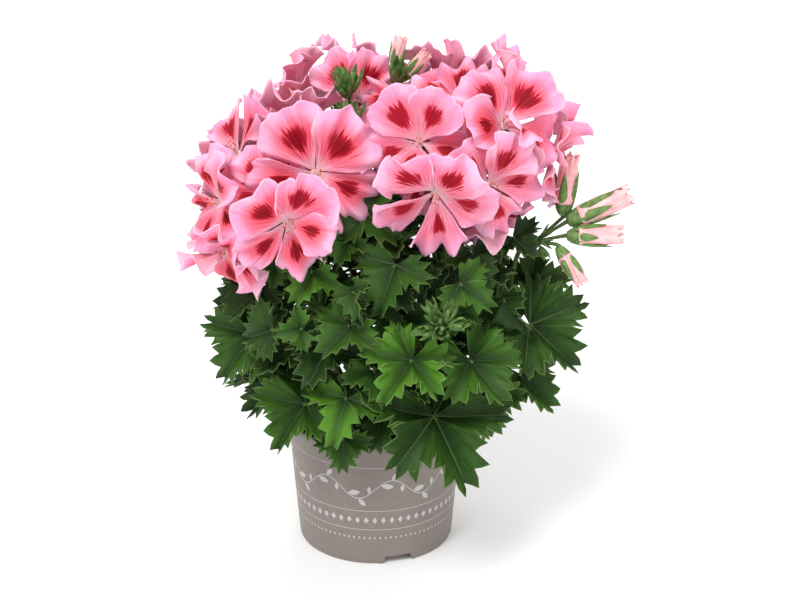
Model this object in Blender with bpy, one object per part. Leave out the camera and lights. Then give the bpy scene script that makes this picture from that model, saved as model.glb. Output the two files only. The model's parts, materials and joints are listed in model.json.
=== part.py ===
# A regal pelargonium in full flower, growing in a tapered plastic nursery pot.
# Metres, +Z up. The origin is the middle of the pot's foot, and the front of the plant faces -Y.

import math
import random

import bmesh
import bpy
from mathutils import Matrix, Vector
from mathutils.bvhtree import BVHTree

# Driving dimensions, in metres unless a name says degrees.
pot = {
    "rimRadius": 0.060,
    "footRadius": 0.052,
    "height": 0.090,
    "wall": 0.0014,
    "lipDepth": 0.004,
    "lipStep": 0.0008,
    "floor": 0.0014,
    "segments": 24,
    "notchDegrees": (17, 137, 257),
    "notchWidth": 0.022,
    "notchTopWidth": 0.017,
    "notchHeight": 0.0055,
    "notchDepth": 0.009,
    "drainCount": 3,
    "drainRadius": 0.005,
    "drainCircle": 0.030,
}
soil = {"top": 0.082, "gap": 0.0003, "lump": 0.0016, "segments": 16, "holeGap": 0.0003}
crown = {"foot": 0.058, "fork": 0.092, "footRadius": 0.0062, "forkRadius": 0.005, "stub": 0.016}
stemRadius = {"low": 0.0031, "high": 0.0024}
petioleRadius = 0.0011
pedicelRadius = 0.0011
bladeThickness = 0.0008
seatGap = 0.0003
testMargin = 0.0005


# Directions and curves. An azimuth of 0 faces the front, 90 the right, and 180 the back.

def facing(azimuth, elevation):
    turn, rise = math.radians(azimuth), math.radians(elevation)
    return Vector((math.sin(turn) * math.cos(rise), -math.cos(turn) * math.cos(rise), math.sin(rise)))


def inMetres(point):
    return Vector(point) * 0.001


def frameOf(origin, yAxis, zHint):
    # a frame with its Y axis kept and its Z axis as near the hint as it can be
    y = yAxis.normalized()
    z = zHint - y * zHint.dot(y)
    if z.length < 0.05:
        z = Vector((0, 0, 1)) - y * y.z
    if z.length < 0.05:
        z = Vector((0, -1, 0)) - y * -y.y
    z.normalize()
    x = y.cross(z)
    frame = Matrix((x, y, z)).transposed().to_4x4()
    frame.translation = origin
    return frame


def bezier(a, b, c, d, count):
    points = []
    for i in range(count + 1):
        t = i / count
        s = 1 - t
        points.append(a * s**3 + b * 3 * s * s * t + c * 3 * s * t * t + d * t**3)
    return points


def arched(start, startAim, end, endAim, count, pull=0.35):
    reach = (end - start).length * pull
    return bezier(start, start + startAim * reach, end - endAim * reach, end, count)


def ringFrames(points, startAim=None, endAim=None):
    # frames along a path, each turned as little as it can be from the one before
    frames = []
    side = None
    for i, point in enumerate(points):
        ahead = points[min(i + 1, len(points) - 1)] - points[max(i - 1, 0)]
        if i == 0 and startAim:
            ahead = startAim.copy()
        if i == len(points) - 1 and endAim:
            ahead = endAim.copy()
        ahead.normalize()
        if side is None:
            side = ahead.orthogonal().normalized()
        side = (side - ahead * side.dot(ahead)).normalized()
        frame = Matrix((side, ahead.cross(side), ahead)).transposed().to_4x4()
        frame.translation = point
        frames.append(frame)
    return frames


# The forms of one leaf and one petal, as formulas.

def leafForm(length, lobes, draw):
    spread = math.radians(156 if lobes == 5 else 124)
    return {
        "length": length,
        "spread": spread,
        "lobeAngle": 2 * spread / lobes,
        "cut": draw.uniform(0.20, 0.30) if lobes == 5 else draw.uniform(0.26, 0.36),
        "tooth": draw.uniform(0.085, 0.11),
        "cup": draw.uniform(0.02, 0.16),
        "droop": draw.uniform(0.05, 0.22),
        "pleat": draw.uniform(0.035, 0.06),
        "fold": draw.uniform(0.0, 0.16),
        "wave": draw.uniform(0.02, 0.05),
        "phase": draw.uniform(0, 6.28),
    }


def leafRim(angle, leaf):
    # the blade's reach at an angle from its midrib: lobes, shorter towards the stalk, with pointed teeth
    away = abs(angle) / leaf["spread"]
    lobe = 0.5 + 0.5 * math.cos(2 * math.pi * angle / leaf["lobeAngle"])
    step = (angle + leaf["spread"]) / (leaf["lobeAngle"] / 4) + 1
    tooth = 1 - 2 * abs(step % 2 - 1)
    reach = (1 - 0.30 * away**1.5) * (1 - leaf["cut"] * (1 - lobe) ** 1.3)
    return leaf["length"] * reach * (1 + leaf["tooth"] * tooth)


def leafPoint(share, angle, leaf):
    # share is 0 at the stalk and 1 at the edge. +Y is the midrib, and +Z the upper face
    length = leaf["length"]
    reach = leafRim(angle, leaf) * share
    x, y = reach * math.sin(angle), reach * math.cos(angle)
    vein = math.cos(2 * math.pi * angle / leaf["lobeAngle"])
    z = length * (leaf["cup"] * share**2 - leaf["droop"] * (y / length) ** 2 * (1 if y > 0 else 0.3))
    z += length * leaf["pleat"] * share * (0.4 - vein) + leaf["fold"] * abs(x)
    z += length * leaf["wave"] * share**2 * math.sin(3 * angle + leaf["phase"])
    return Vector((x, y, z))


def petalForm(length, upper, draw):
    return {
        "length": length,
        "columns": 3 if upper else 2,
        "halfAngle": math.radians(draw.uniform(41, 45) if upper else draw.uniform(34, 38)),
        "depth": length * draw.uniform(0.22, 0.30),
        "curl": length * draw.uniform(0.04, 0.14),
        "cup": draw.uniform(-0.04, 0.10),
        "ruffle": draw.uniform(0.04, 0.07),
        "waves": draw.uniform(0.9, 1.3),
        "phase": draw.uniform(0, 6.28),
    }


def petalPoint(along, across, petal):
    # along is 0 at the throat and 1 at the outer edge. +Y leads outwards, and +Z to the flower's face
    length = petal["length"]
    reach = length * along * (1 - along * (0.12 * across**2 + 0.18 * across**6))
    swing = across * petal["halfAngle"] * (0.6 + 0.4 * along)
    z = petal["depth"] * (2 * along - along**2) - petal["curl"] * along**4
    z += length * petal["cup"] * across**2 * along
    z += length * petal["ruffle"] * along**3 * math.sin(petal["waves"] * math.pi * across + petal["phase"])
    return Vector((reach * math.sin(swing), reach * math.cos(swing), z))


# Skins: points and faces of closed bodies.

def sheetOf(rows):
    # triangles over rows of points, where a row has as many steps as the one before or a multiple of them
    points = [p for row in rows for p in row]
    faces = []
    start = 0
    for inner, outer in zip(rows, rows[1:]):
        after = start + len(inner)
        steps = max(len(inner) - 1, 1)
        cuts = (len(outer) - 1) // steps
        for i in range(steps):
            left, right = start + i, start + min(i + 1, len(inner) - 1)
            base = after + i * cuts
            middle = cuts if len(inner) == 1 else (cuts + 1) // 2
            for k in range(middle):
                faces.append((left, base + k + 1, base + k))
            if len(inner) > 1:
                faces.append((left, right, base + middle))
            for k in range(middle, cuts):
                faces.append((right, base + k + 1, base + k))
        start = after
    return points, faces


def thickened(rows, frame, half):
    # the sheet over the rows, with this much on both sides of it
    flat, faces = sheetOf(rows)
    normals = [Vector((0, 0, 0)) for _ in flat]
    edges = set()
    for a, b, c in faces:
        normal = (flat[b] - flat[a]).cross(flat[c] - flat[a])
        for k in (a, b, c):
            normals[k] += normal
        edges |= {(a, b), (b, c), (c, a)}
    normals = [n.normalized() * half for n in normals]
    points = [frame @ (p + n) for p, n in zip(flat, normals)]
    points += [frame @ (p - n) for p, n in zip(flat, normals)]
    count = len(flat)
    skin = list(faces) + [(a + count, c + count, b + count) for a, b, c in faces]
    for a, b in sorted(edges):
        if (b, a) not in edges:
            skin += [(b, a, a + count), (b, a + count, b + count)]
    return points, skin


def petalShell(petal, frame, half):
    rows = [[petalPoint(0.03, 0, petal)]]
    for along, cuts in ((0.5, 1), (1.0, 2)):
        steps = petal["columns"] * cuts
        rows.append([petalPoint(along, 2 * j / steps - 1, petal) for j in range(steps + 1)])
    return thickened(rows, frame, half)


def leafShell(leaf, frame, half):
    rows = [[Vector((0, 0, 0))]]
    for share, cuts in ((0.55, 1), (1.0, 4)):
        steps = round(2 * leaf["spread"] / leaf["lobeAngle"]) * cuts
        rows.append([leafPoint(share, leaf["spread"] * (2 * j / steps - 1), leaf) for j in range(steps + 1)])
    return thickened(rows, frame, half)


def ringShell(rings):
    # rings of points, each as long as the one before or a single point, closed at both ends
    points = [p for ring in rings for p in ring]
    faces = []
    start = 0
    first, last = rings[0], rings[-1]
    if len(first) > 1:
        faces.append(tuple(reversed(range(len(first)))))
    for low, high in zip(rings, rings[1:]):
        after = start + len(low)
        count = max(len(low), len(high))
        for k in range(count):
            a, b = start + k % len(low), start + (k + 1) % len(low)
            c, d = after + k % len(high), after + (k + 1) % len(high)
            corners = [a, b, d, c]
            faces.append(tuple(dict.fromkeys(corners)))
        start = after
    if len(last) > 1:
        faces.append(tuple(range(start, start + len(last))))
    return points, faces


def circle(frame, radius, count, lift=0.0, turn=0.0):
    steps = [turn + 2 * math.pi * k / count for k in range(count)]
    return [frame @ Vector((radius * math.cos(a), radius * math.sin(a), lift)) for a in steps]


def tubeShell(points, radii, sides, startAim=None, endAim=None):
    frames = ringFrames(points, startAim, endAim)
    return ringShell([circle(frame, radius, sides) for frame, radius in zip(frames, radii)])


def spindleShell(points, radii, sides):
    # a tube that ends in a point
    frames = ringFrames(points)
    rings = [circle(frame, radius, sides) for frame, radius in zip(frames[:-1], radii)]
    return ringShell(rings + [[points[-1]]])


calyx = {"seat": 0.0030, "starRadius": 0.0095, "starBack": 0.0042, "notchRadius": 0.0034, "foot": 0.0095}
receptacle = ((-0.0027, 0.0026), (0.0, 0.0042), (0.0026, 0.0028))


def calyxShell(frame):
    star = []
    for k in range(10):
        turn = math.pi * k / 5
        radius = calyx["notchRadius"] if k % 2 else calyx["starRadius"]
        back = calyx["seat"] + 0.0002 if k % 2 else calyx["starBack"]
        star.append(frame @ Vector((radius * math.cos(turn), radius * math.sin(turn), -back)))
    return ringShell([[frame @ Vector((0, 0, -calyx["foot"]))], star, [frame @ Vector((0, 0, -calyx["seat"]))]])


def receptacleShell(frame):
    rings = [circle(frame, radius, 5, lift) for lift, radius in receptacle]
    return ringShell(rings + [[frame @ Vector((0, 0, 0.0034))]])


# What already stands, and whether a new blade or stalk is clear of it.

standing = []


def boxOf(points):
    low = [min(p[k] for p in points) for k in range(3)]
    high = [max(p[k] for p in points) for k in range(3)]
    return low, high


def isClear(points, faces, skip=()):
    low, high = boxOf(points)
    tree = None
    for owner, (otherLow, otherHigh), other in standing:
        if owner in skip or any(low[k] > otherHigh[k] or high[k] < otherLow[k] for k in range(3)):
            continue
        tree = tree or BVHTree.FromPolygons(points, faces)
        if tree.overlap(other):
            return False
    return True


def stand(owner, points, faces):
    standing.append((owner, boxOf(points), BVHTree.FromPolygons(points, faces)))
    return points, faces


# The leafy shoots: the way each leaves the crown, where its tip stands in millimetres, and the tip's way.

shoots = {
    "front": {"aim": (10, 35), "tip": (34, -60, 160), "tipAim": (5, 70)},
    "front_left": {"aim": (-35, 35), "tip": (-34, -46, 186), "tipAim": (-10, 75)},
    "left": {"aim": (-85, 35), "tip": (-58, -6, 180), "tipAim": (-60, 80)},
    "back_left": {"aim": (-140, 35), "tip": (-50, 50, 165), "tipAim": (-140, 60)},
    "back": {"aim": (175, 40), "tip": (-18, 50, 195), "tipAim": (180, 80)},
    "back_right": {"aim": (130, 35), "tip": (52, 48, 168), "tipAim": (130, 60)},
    "right": {"aim": (85, 35), "tip": (82, -14, 165), "tipAim": (80, 60)},
    "inner_right": {"aim": (60, 60), "tip": (46, -6, 190), "tipAim": (60, 80)},
    "middle": {"aim": (-100, 75), "tip": (-6, 8, 215), "tipAim": (0, 88)},
}

# The flower heads: the shoot that carries each, where its stalks part, and its blooms.
# A bloom is its throat in millimetres, the way it faces, its spin in degrees and its petals' length in millimetres.

heads = {
    "left": {"shoot": "left", "node": (-62, -12, 236), "blooms": (
        ((-36, -46, 274), (4, 14), -6, 45),
        ((-52, -78, 254), (16, -8), 22, 40),
        ((-95, -38, 252), (-55, 10), 0, 36),
        ((-92, -48, 226), (-40, -30), 0, 38),
        ((-86, -4, 272), (-60, 45), 20, 36),
        ((-52, 16, 284), (-170, 60), 0, 38),
        ((-90, 30, 244), (-125, 15), 0, 37),
    )},
    "right": {"shoot": "inner_right", "node": (58, -12, 258), "blooms": (
        ((38, -70, 270), (-3, -26), 6, 42),
        ((70, -56, 270), (28, -2), 20, 38),
        ((29, -50, 294), (-14, 26), 6, 37),
        ((80, -38, 301), (35, 35), -20, 40),
        ((54, -30, 310), (0, 58), 30, 34),
        ((22, -8, 306), (-50, 45), 0, 36),
        ((48, 22, 312), (175, 62), 0, 38),
        ((92, 16, 304), (100, 50), 0, 38),
        ((110, -14, 274), (70, 8), 0, 36),
        ((72, -34, 246), (25, -50), 0, 34),
    )},
    "back": {"shoot": "back", "node": (-20, 46, 262), "blooms": (
        ((-12, 28, 298), (0, 38), 0, 35),
        ((-46, 58, 282), (-130, 45), 0, 36),
        ((6, 74, 280), (150, 35), 0, 37),
    )},
}

# The sprays of buds: the shoot, then for each umbel its node in millimetres, the way it faces, how many
# green buds, their fan in degrees and their length in millimetres. A pink bud is its foot, its tip and
# its greatest radius in millimetres, and the umbel that it stands on.

sprays = {
    "top": {
        "shoot": "middle",
        "umbels": (
            ((-15, -12, 286), (-15, 60), 4, 34, 17),
            ((-16, 6, 303), (-10, 75), 4, 34, 16),
            ((14, 4, 312), (10, 80), 4, 30, 18),
        ),
        "pink": (((13, 3, 325), (17, 6, 345), 4.2, 2), ((21, 2, 322), (33, -1, 337), 3.8, 2)),
    },
    "front": {"shoot": "front", "umbels": (((42, -90, 188), (0, 48), 6, 56, 14),), "pink": ()},
    "front_left": {"shoot": "front_left", "umbels": (((-30, -74, 236), (4, 40), 4, 50, 12),), "pink": ()},
    "right": {
        "shoot": "right",
        "umbels": (((104, -22, 219), (70, 10), 3, 70, 9),),
        "pink": (
            ((121, -18, 240), (124, -16, 274), 6.0, 0),
            ((127, -24, 235), (161, -22, 250), 6.5, 0),
            ((127, -30, 226), (156, -34, 228), 6.0, 0),
            ((119, -36, 217), (132, -43, 199), 4.6, 0),
        ),
    },
}

# The leaves that show: the stalk's end in millimetres, the way the midrib runs, the way the upper face
# looks, and the length of the blade in millimetres.

leaves = (
    ((38, -86, 126), (40, -44), (5, 46), 56),
    ((100, -38, 168), (70, -34), (15, 42), 46),
    ((-78, -28, 157), (-66, -42), (-15, 38), 42),
    ((24, -92, 172), (-30, -27), (0, 60), 41),
    ((-14, -84, 140), (-16, -31), (0, 60), 37),
    ((60, -84, 163), (46, -31), (14, 58), 40),
    ((-42, -62, 128), (-40, -37), (-18, 52), 42),
    ((96, -20, 184), (78, 0), (10, 52), 39),
    ((-78, -10, 172), (-82, -10), (-20, 58), 40),
    ((66, -66, 132), (52, -62), (20, 24), 38),
    ((-12, -80, 184), (-48, -25), (-5, 64), 33),
    ((14, -70, 222), (-36, -45), (-18, 44), 35),
    ((52, -78, 206), (66, -30), (10, 46), 31),
    ((-22, -86, 113), (-4, -74), (0, 14), 28),
    ((34, -90, 170), (52, -36), (8, 44), 24),
    ((-50, -46, 158), (-56, -25), (-10, 64), 36),
    ((88, -50, 188), (34, -60), (-48, 16), 31),
    ((94, -36, 132), (70, -41), (24, 48), 36),
    ((88, -32, 226), (50, -30), (10, 48), 24),
    ((-6, -50, 250), (50, -20), (-10, 40), 32),
    ((-20, -62, 236), (-20, -32), (0, 50), 22),
    ((-38, -58, 214), (-40, -44), (0, 44), 28),
    ((-60, -44, 172), (-40, -50), (44, 10), 30),
    ((4, -60, 116), (-6, -51), (0, 44), 34),
    ((-58, -34, 128), (-70, -37), (-30, 50), 38),
    ((-30, -66, 164), (-26, -35), (-6, 56), 34),
    ((-2, -74, 160), (14, -41), (4, 52), 32),
    ((60, -44, 222), (34, -25), (12, 62), 30),
    ((-70, -30, 192), (-52, -25), (-22, 62), 34),
)

# The leaves of the sides and back stand in tiers: height and radius in millimetres, how many, the first
# azimuth and the step in degrees, the way the midrib rises in degrees, and the length in millimetres.

leafTiers = (
    (122, 62, 5, 98, 41, -32, 44),
    (162, 74, 5, 90, 45, -18, 44),
    (204, 62, 3, 112, 62, -6, 38),
    (226, 34, 1, 185, 70, 20, 34),
)


def planShoots():
    paths = {}
    for name, shoot in shoots.items():
        aim, tipAim = facing(*shoot["aim"]), facing(*shoot["tipAim"])
        start = Vector((0, 0, crown["fork"])) + aim * (crown["stub"] + seatGap)
        path = arched(start, aim, inMetres(shoot["tip"]), tipAim, 5)
        radii = [stemRadius["low"] + (stemRadius["high"] - stemRadius["low"]) * i / 5 for i in range(6)]
        skin = stand("stem_" + name, *tubeShell(path, radii, 5, aim, tipAim))
        paths[name] = {"path": path, "aim": aim, "tipAim": tipAim, "skin": skin, "parts": []}
    return paths


def standPot():
    frame = Matrix()
    rings = [circle(frame, pot["footRadius"], 24, 0), circle(frame, pot["rimRadius"], 24, pot["height"])]
    inside = pot["rimRadius"] - pot["wall"]
    level = soil["top"] + soil["lump"]
    rings += [circle(frame, inside, 24, pot["height"]), circle(frame, inside, 24, level)]
    stand("pot", *ringShell(rings))


def bloomFrame(bloom):
    throat, aim, spin, _ = bloom
    axis = facing(*aim)
    up = Vector((0, 0, 1)) - axis * axis.z
    frame = frameOf(inMetres(throat), up, axis)
    return frame @ Matrix.Rotation(math.radians(spin), 4, "Z")


def planHeads(paths):
    # the stalks of every head first, and then the petals, each moved until it hangs clear
    plan = {}
    for headName, head in heads.items():
        shoot = paths[head["shoot"]]
        node = inMetres(head["node"])
        fork = node - Vector((0, 0, 0.002))
        start = shoot["path"][-1] + shoot["tipAim"] * seatGap
        path = arched(start, shoot["tipAim"], node, Vector((0, 0, 1)), 3)
        owner = "truss_" + headName
        parts = [stand(owner, *tubeShell(path, [stemRadius["high"]] * 4, 5, shoot["tipAim"]))]
        stalks, blooms = [], []
        for number, bloom in enumerate(head["blooms"]):
            frame = bloomFrame(bloom)
            axis = frame.to_3x3().col[2].normalized()
            end = frame.translation - axis * (calyx["foot"] - 0.0025)
            stalk = arched(fork, (end - fork).normalized(), end, axis, 2, 0.3)
            stalks.append(stalk)
            parts.append(stand(owner, *tubeShell(stalk, [pedicelRadius] * 3, 3)))
            parts.append(stand(owner, *calyxShell(frame)))
            name = f"bloom_{headName}_{number + 1}"
            blooms.append({"name": name, "frame": frame, "length": bloom[3] * 0.001, "petals": []})
            stand("heart_" + name, *receptacleShell(frame))
        plan[headName] = {
            "path": path, "aim": shoot["tipAim"], "stalks": stalks, "parts": parts, "blooms": blooms,
        }
    return plan


petalTurns = (36, -36, 109, -109, 180)
petalLifts = (8, 1, -5, -6, 2)


def planPetals(bloom):
    for index, turn in enumerate(petalTurns):
        draw = random.Random("petal " + bloom["name"] + str(index))
        shape = petalForm(bloom["length"] * (1.0 if index < 2 else 0.94), index < 2, draw)
        lift = petalLifts[index] + draw.uniform(-2, 4)
        heart = ("heart_" + bloom["name"],)
        for attempt in range(420):
            loose = attempt / 160
            petal = dict(shape)
            petal["length"] = shape["length"] * (1 - 0.2 * loose)
            turned = turn + draw.uniform(-15, 15) * loose
            lifted = lift + draw.uniform(-55, 60) * loose
            twisted = draw.uniform(-34, 34) * min(loose + 0.2, 1)
            placed = bloom["frame"] @ Matrix.Rotation(math.radians(-turned), 4, "Z")
            placed = placed @ Matrix.Rotation(math.radians(lifted), 4, "X")
            placed = placed @ Matrix.Rotation(math.radians(twisted), 4, "Y")
            if isClear(*petalShell(petal, placed, bladeThickness / 2 + testMargin), heart):
                skin = stand(bloom["name"], *petalShell(petal, placed, bladeThickness / 2))
                bloom["petals"].append({"petal": petal, "frame": placed, "index": index, "skin": skin})
                break


def coneAims(aim, count, fan):
    # directions that fan out evenly about an aim
    frame = frameOf(Vector((0, 0, 0)), aim, Vector((0, 0, 1)))
    aims = []
    for k in range(count):
        tilt = math.radians(fan) * math.sqrt((k + 0.4) / count)
        roll = k * 2.39996
        local = Vector((math.sin(tilt) * math.cos(roll), math.cos(tilt), math.sin(tilt) * math.sin(roll)))
        aims.append(frame.to_3x3() @ local)
    return aims


def planSprays(paths):
    plan = {}
    for name, spray in sprays.items():
        shoot = paths[spray["shoot"]]
        start = shoot["path"][-1] + shoot["tipAim"] * seatGap
        owner = "buds_" + name
        parts, stalks, greens, pinks = [], [], [], []
        for number, (foot, tip, radius, umbel) in enumerate(spray["pink"]):
            foot, tip, node = inMetres(foot), inMetres(tip), inMetres(spray["umbels"][umbel][0])
            along = (tip - foot).normalized()
            wide = radius * 0.001
            low = node - facing(*spray["umbels"][umbel][1]) * 0.0015
            cup = [low, foot - along * 0.006, foot - along * 0.003, foot - along * seatGap]
            parts.append(stand(owner, *tubeShell(cup, [0.0009, 0.0012, wide * 0.6, wide * 0.75], 5, None, along)))
            marks = [foot + (tip - foot) * s for s in (0, 0.25, 0.6, 0.85)]
            bud = spindleShell(marks + [tip], [wide * 0.6, wide * 0.9, wide, wide * 0.6], 5)
            pinkName = f"pink_bud_{name}_{number + 1}"
            pinks.append({
                "name": pinkName, "foot": foot, "tip": tip, "radius": wide, "cup": cup,
                "skin": stand(pinkName, *bud),
            })
        for place, aim, count, fan, length in spray["umbels"]:
            node, way = inMetres(place), facing(*aim)
            path = arched(start, shoot["tipAim"], node, way, 4)
            stalks.append(path)
            parts.append(stand(owner, *tubeShell(path, [0.0017] * 5, 4, shoot["tipAim"])))
            for direction in coneAims(way, count, fan):
                size = length * 0.001
                foot, tip = node + direction * size * 0.4, node + direction * size * 1.4
                middle = [foot + (tip - foot) * s for s in (0.35, 0.7)]
                radii = [0.0009, 0.001, size * 0.19, size * 0.13]
                marks = [node - way * 0.0015, foot] + middle + [tip]
                if isClear(*spindleShell(marks, [r + testMargin for r in radii], 4), (owner,)):
                    parts.append(stand(owner, *spindleShell(marks, radii, 4)))
                    greens.append((node, foot, tip))
        plan[name] = {"aim": shoot["tipAim"], "parts": parts, "stalks": stalks, "greens": greens, "pinks": pinks}
    return plan


def wantedLeaves():
    wanted = list(leaves)
    for height, radius, count, first, step, rise, length in leafTiers:
        for k in range(count):
            azimuth = first + k * step
            out = facing(azimuth, 0)
            place = (out.x * radius, out.y * radius, height)
            wanted.append((place, (azimuth, rise), (azimuth, 50 + rise * 0.3), length))
    return wanted


def planPetiole(frame, leaf, paths):
    # the nearest shoot from which a stalk reaches the blade and stays clear
    seat = frame @ leafPoint(0.03, 0, leaf)
    turned = frame.to_3x3()
    endAim = (turned.col[2] * 0.6 + turned.col[1] * 0.55).normalized()
    options = []
    for name, shoot in paths.items():
        for i in range(3, 15):
            step = i // 3
            point = shoot["path"][step].lerp(shoot["path"][step + 1], i / 3 - step)
            away = (seat - point).length
            if point.z < seat.z + 0.012 and away > 0.014:
                options.append((away, name, tuple(point)))
    for away, name, point in sorted(options)[:24]:
        point = Vector(point)
        out = seat - point
        startAim = (out.normalized() + Vector((0, 0, 0.35))).normalized()
        path = arched(point, startAim, seat + endAim * 0.001, endAim, 3, 0.32)
        skip = ("stem_" + name, "petiole_" + name)
        if isClear(*tubeShell(path, [petioleRadius + testMargin] * 4, 3), skip):
            return name, path
    return None


def planLeaves(paths):
    for number, (place, midrib, face, length) in enumerate(wantedLeaves()):
        draw = random.Random(f"leaf {number}")
        lobes = 5 if length > 37 else 3
        shape = leafForm(length * 0.001, lobes, draw)
        for attempt in range(240):
            loose = attempt / 240
            leaf = dict(shape)
            leaf["length"] = shape["length"] * (1 - 0.35 * loose)
            shift = Vector([draw.uniform(-1, 1) for _ in range(3)]) * 0.02 * loose
            way = facing(midrib[0] + draw.uniform(-40, 40) * loose, midrib[1] + draw.uniform(-35, 35) * loose)
            look = facing(face[0] + draw.uniform(-40, 40) * loose, face[1] + draw.uniform(-35, 35) * loose)
            frame = frameOf(inMetres(place) + shift, way, look)
            if not isClear(*leafShell(leaf, frame, bladeThickness / 2 + testMargin)):
                continue
            stalk = planPetiole(frame, leaf, paths)
            if stalk:
                name, path = stalk
                skin = stand(f"leaf_{number}", *leafShell(leaf, frame, bladeThickness / 2))
                tube = stand("petiole_" + name, *tubeShell(path, [petioleRadius] * 4, 3))
                part = {"number": number, "leaf": leaf, "frame": frame, "path": path, "skins": (skin, tube)}
                paths[name]["parts"].append(part)
                break
        else:
            print("no room for leaf", number, place)


def planPlant():
    standPot()
    paths = planShoots()
    headPlan = planHeads(paths)
    sprayPlan = planSprays(paths)
    for headName in ("left", "right", "back"):
        for bloom in headPlan[headName]["blooms"]:
            planPetals(bloom)
            if len(bloom["petals"]) < 5:
                print(bloom["name"], "has", len(bloom["petals"]), "petals")
    planLeaves(paths)
    return paths, headPlan, sprayPlan


# Building: skins become objects, and the bodies of one node are fused.

def material(name, colour, roughness):
    made = bpy.data.materials.new(name)
    made.use_nodes = True
    shader = made.node_tree.nodes["Principled BSDF"]
    shader.inputs["Base Color"].default_value = (*colour, 1)
    shader.inputs["Roughness"].default_value = roughness
    made.diffuse_color = (*colour, 1)
    return made


def objectOf(name, points, faces):
    mesh = bpy.data.meshes.new(name)
    mesh.from_pydata([tuple(p) for p in points], [], faces)
    made = bpy.data.objects.new(name, mesh)
    bpy.context.scene.collection.objects.link(made)
    return made


def joined(name, base, others, operation):
    # one Boolean over a collection, applied, after which its objects are removed
    tools = bpy.data.collections.new(name + "_tools")
    bpy.context.scene.collection.children.link(tools)
    for other in others:
        bpy.context.scene.collection.objects.unlink(other)
        tools.objects.link(other)
    change = base.modifiers.new("join", "BOOLEAN")
    change.operation = operation
    change.operand_type = "COLLECTION"
    change.collection = tools
    change.solver = "MANIFOLD"
    bpy.context.view_layer.update()
    result = bpy.data.meshes.new_from_object(base.evaluated_get(bpy.context.evaluated_depsgraph_get()))
    base.modifiers.clear()
    base.data = result
    base.name = name
    result.name = name
    for other in list(tools.objects):
        bpy.data.objects.remove(other)
    bpy.data.collections.remove(tools)
    return base


def finished(made, look):
    made.data.materials.clear()
    made.data.materials.append(look)
    shape = bmesh.new()
    shape.from_mesh(made.data)
    bmesh.ops.remove_doubles(shape, verts=shape.verts, dist=0.0000001)
    bmesh.ops.triangulate(shape, faces=shape.faces)
    for face in shape.faces:
        face.smooth = False
    shape.to_mesh(made.data)
    shape.free()
    return made


def fused(name, skins, look):
    bodies = [objectOf(f"{name}_{k}", *skin) for k, skin in enumerate(skins)]
    if len(bodies) > 1:
        joined(name, bodies[0], bodies[1:], "UNION")
    bodies[0].name = name
    return finished(bodies[0], look)


def wallRadius(z):
    # the outside of the pot's wall at a height
    return pot["footRadius"] + (pot["rimRadius"] - pot["lipStep"] - pot["footRadius"]) * z / pot["height"]


def block(name, azimuth, width, topWidth, low, high, near, far):
    # a tapered block that points outwards along an azimuth
    frame = frameOf(Vector((0, 0, 0)), facing(azimuth, 0), Vector((0, 0, 1)))
    corners = []
    for y in (near, far):
        for x, z in ((-width / 2, low), (width / 2, low), (topWidth / 2, high), (-topWidth / 2, high)):
            corners.append(frame @ Vector((x, y, z)))
    faces = [(0, 1, 2, 3), (7, 6, 5, 4), (0, 4, 5, 1), (1, 5, 6, 2), (2, 6, 7, 3), (3, 7, 4, 0)]
    return objectOf(name, corners, faces)


def buildPot(look):
    frame, count, wall = Matrix(), pot["segments"], pot["wall"]
    lip = pot["height"] - pot["lipDepth"]
    profile = (
        (pot["footRadius"] - 0.0012, 0),
        (wallRadius(0.0012), 0.0012),
        (wallRadius(lip), lip),
        (pot["rimRadius"], lip + 0.0006),
        (pot["rimRadius"], pot["height"]),
        (pot["rimRadius"] - wall - 0.0004, pot["height"]),
        (wallRadius(pot["floor"]) - wall, pot["floor"]),
    )
    rings = [[Vector((0, 0, 0))]] + [circle(frame, radius, count, z) for radius, z in profile]
    body = objectOf("pot", *ringShell(rings + [[Vector((0, 0, pot["floor"]))]]))
    reach = wallRadius(0)
    pockets, cutters = [], []
    for turn in pot["notchDegrees"]:
        near = reach - pot["notchDepth"]
        high = pot["notchHeight"]
        pockets.append(block("pocket", turn, pot["notchWidth"] + 0.003, pot["notchTopWidth"] + 0.003,
                             0.0004, high + 0.0014, near - 0.0014, reach - 0.0023))
        cutters.append(block("notch", turn, pot["notchWidth"], pot["notchTopWidth"],
                             -0.002, high, near, reach + 0.004))
    joined("pot", body, pockets, "UNION")
    for k in range(pot["drainCount"]):
        turn = 2 * math.pi * (k + 0.25) / pot["drainCount"]
        where = Matrix.Translation((pot["drainCircle"] * math.cos(turn), pot["drainCircle"] * math.sin(turn), 0))
        rings = [circle(where, pot["drainRadius"], 8, -0.001), circle(where, pot["drainRadius"], 8, 0.003)]
        cutters.append(objectOf("drain", *ringShell(rings)))
    joined("pot", body, cutters, "DIFFERENCE")
    return finished(body, look)


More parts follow.
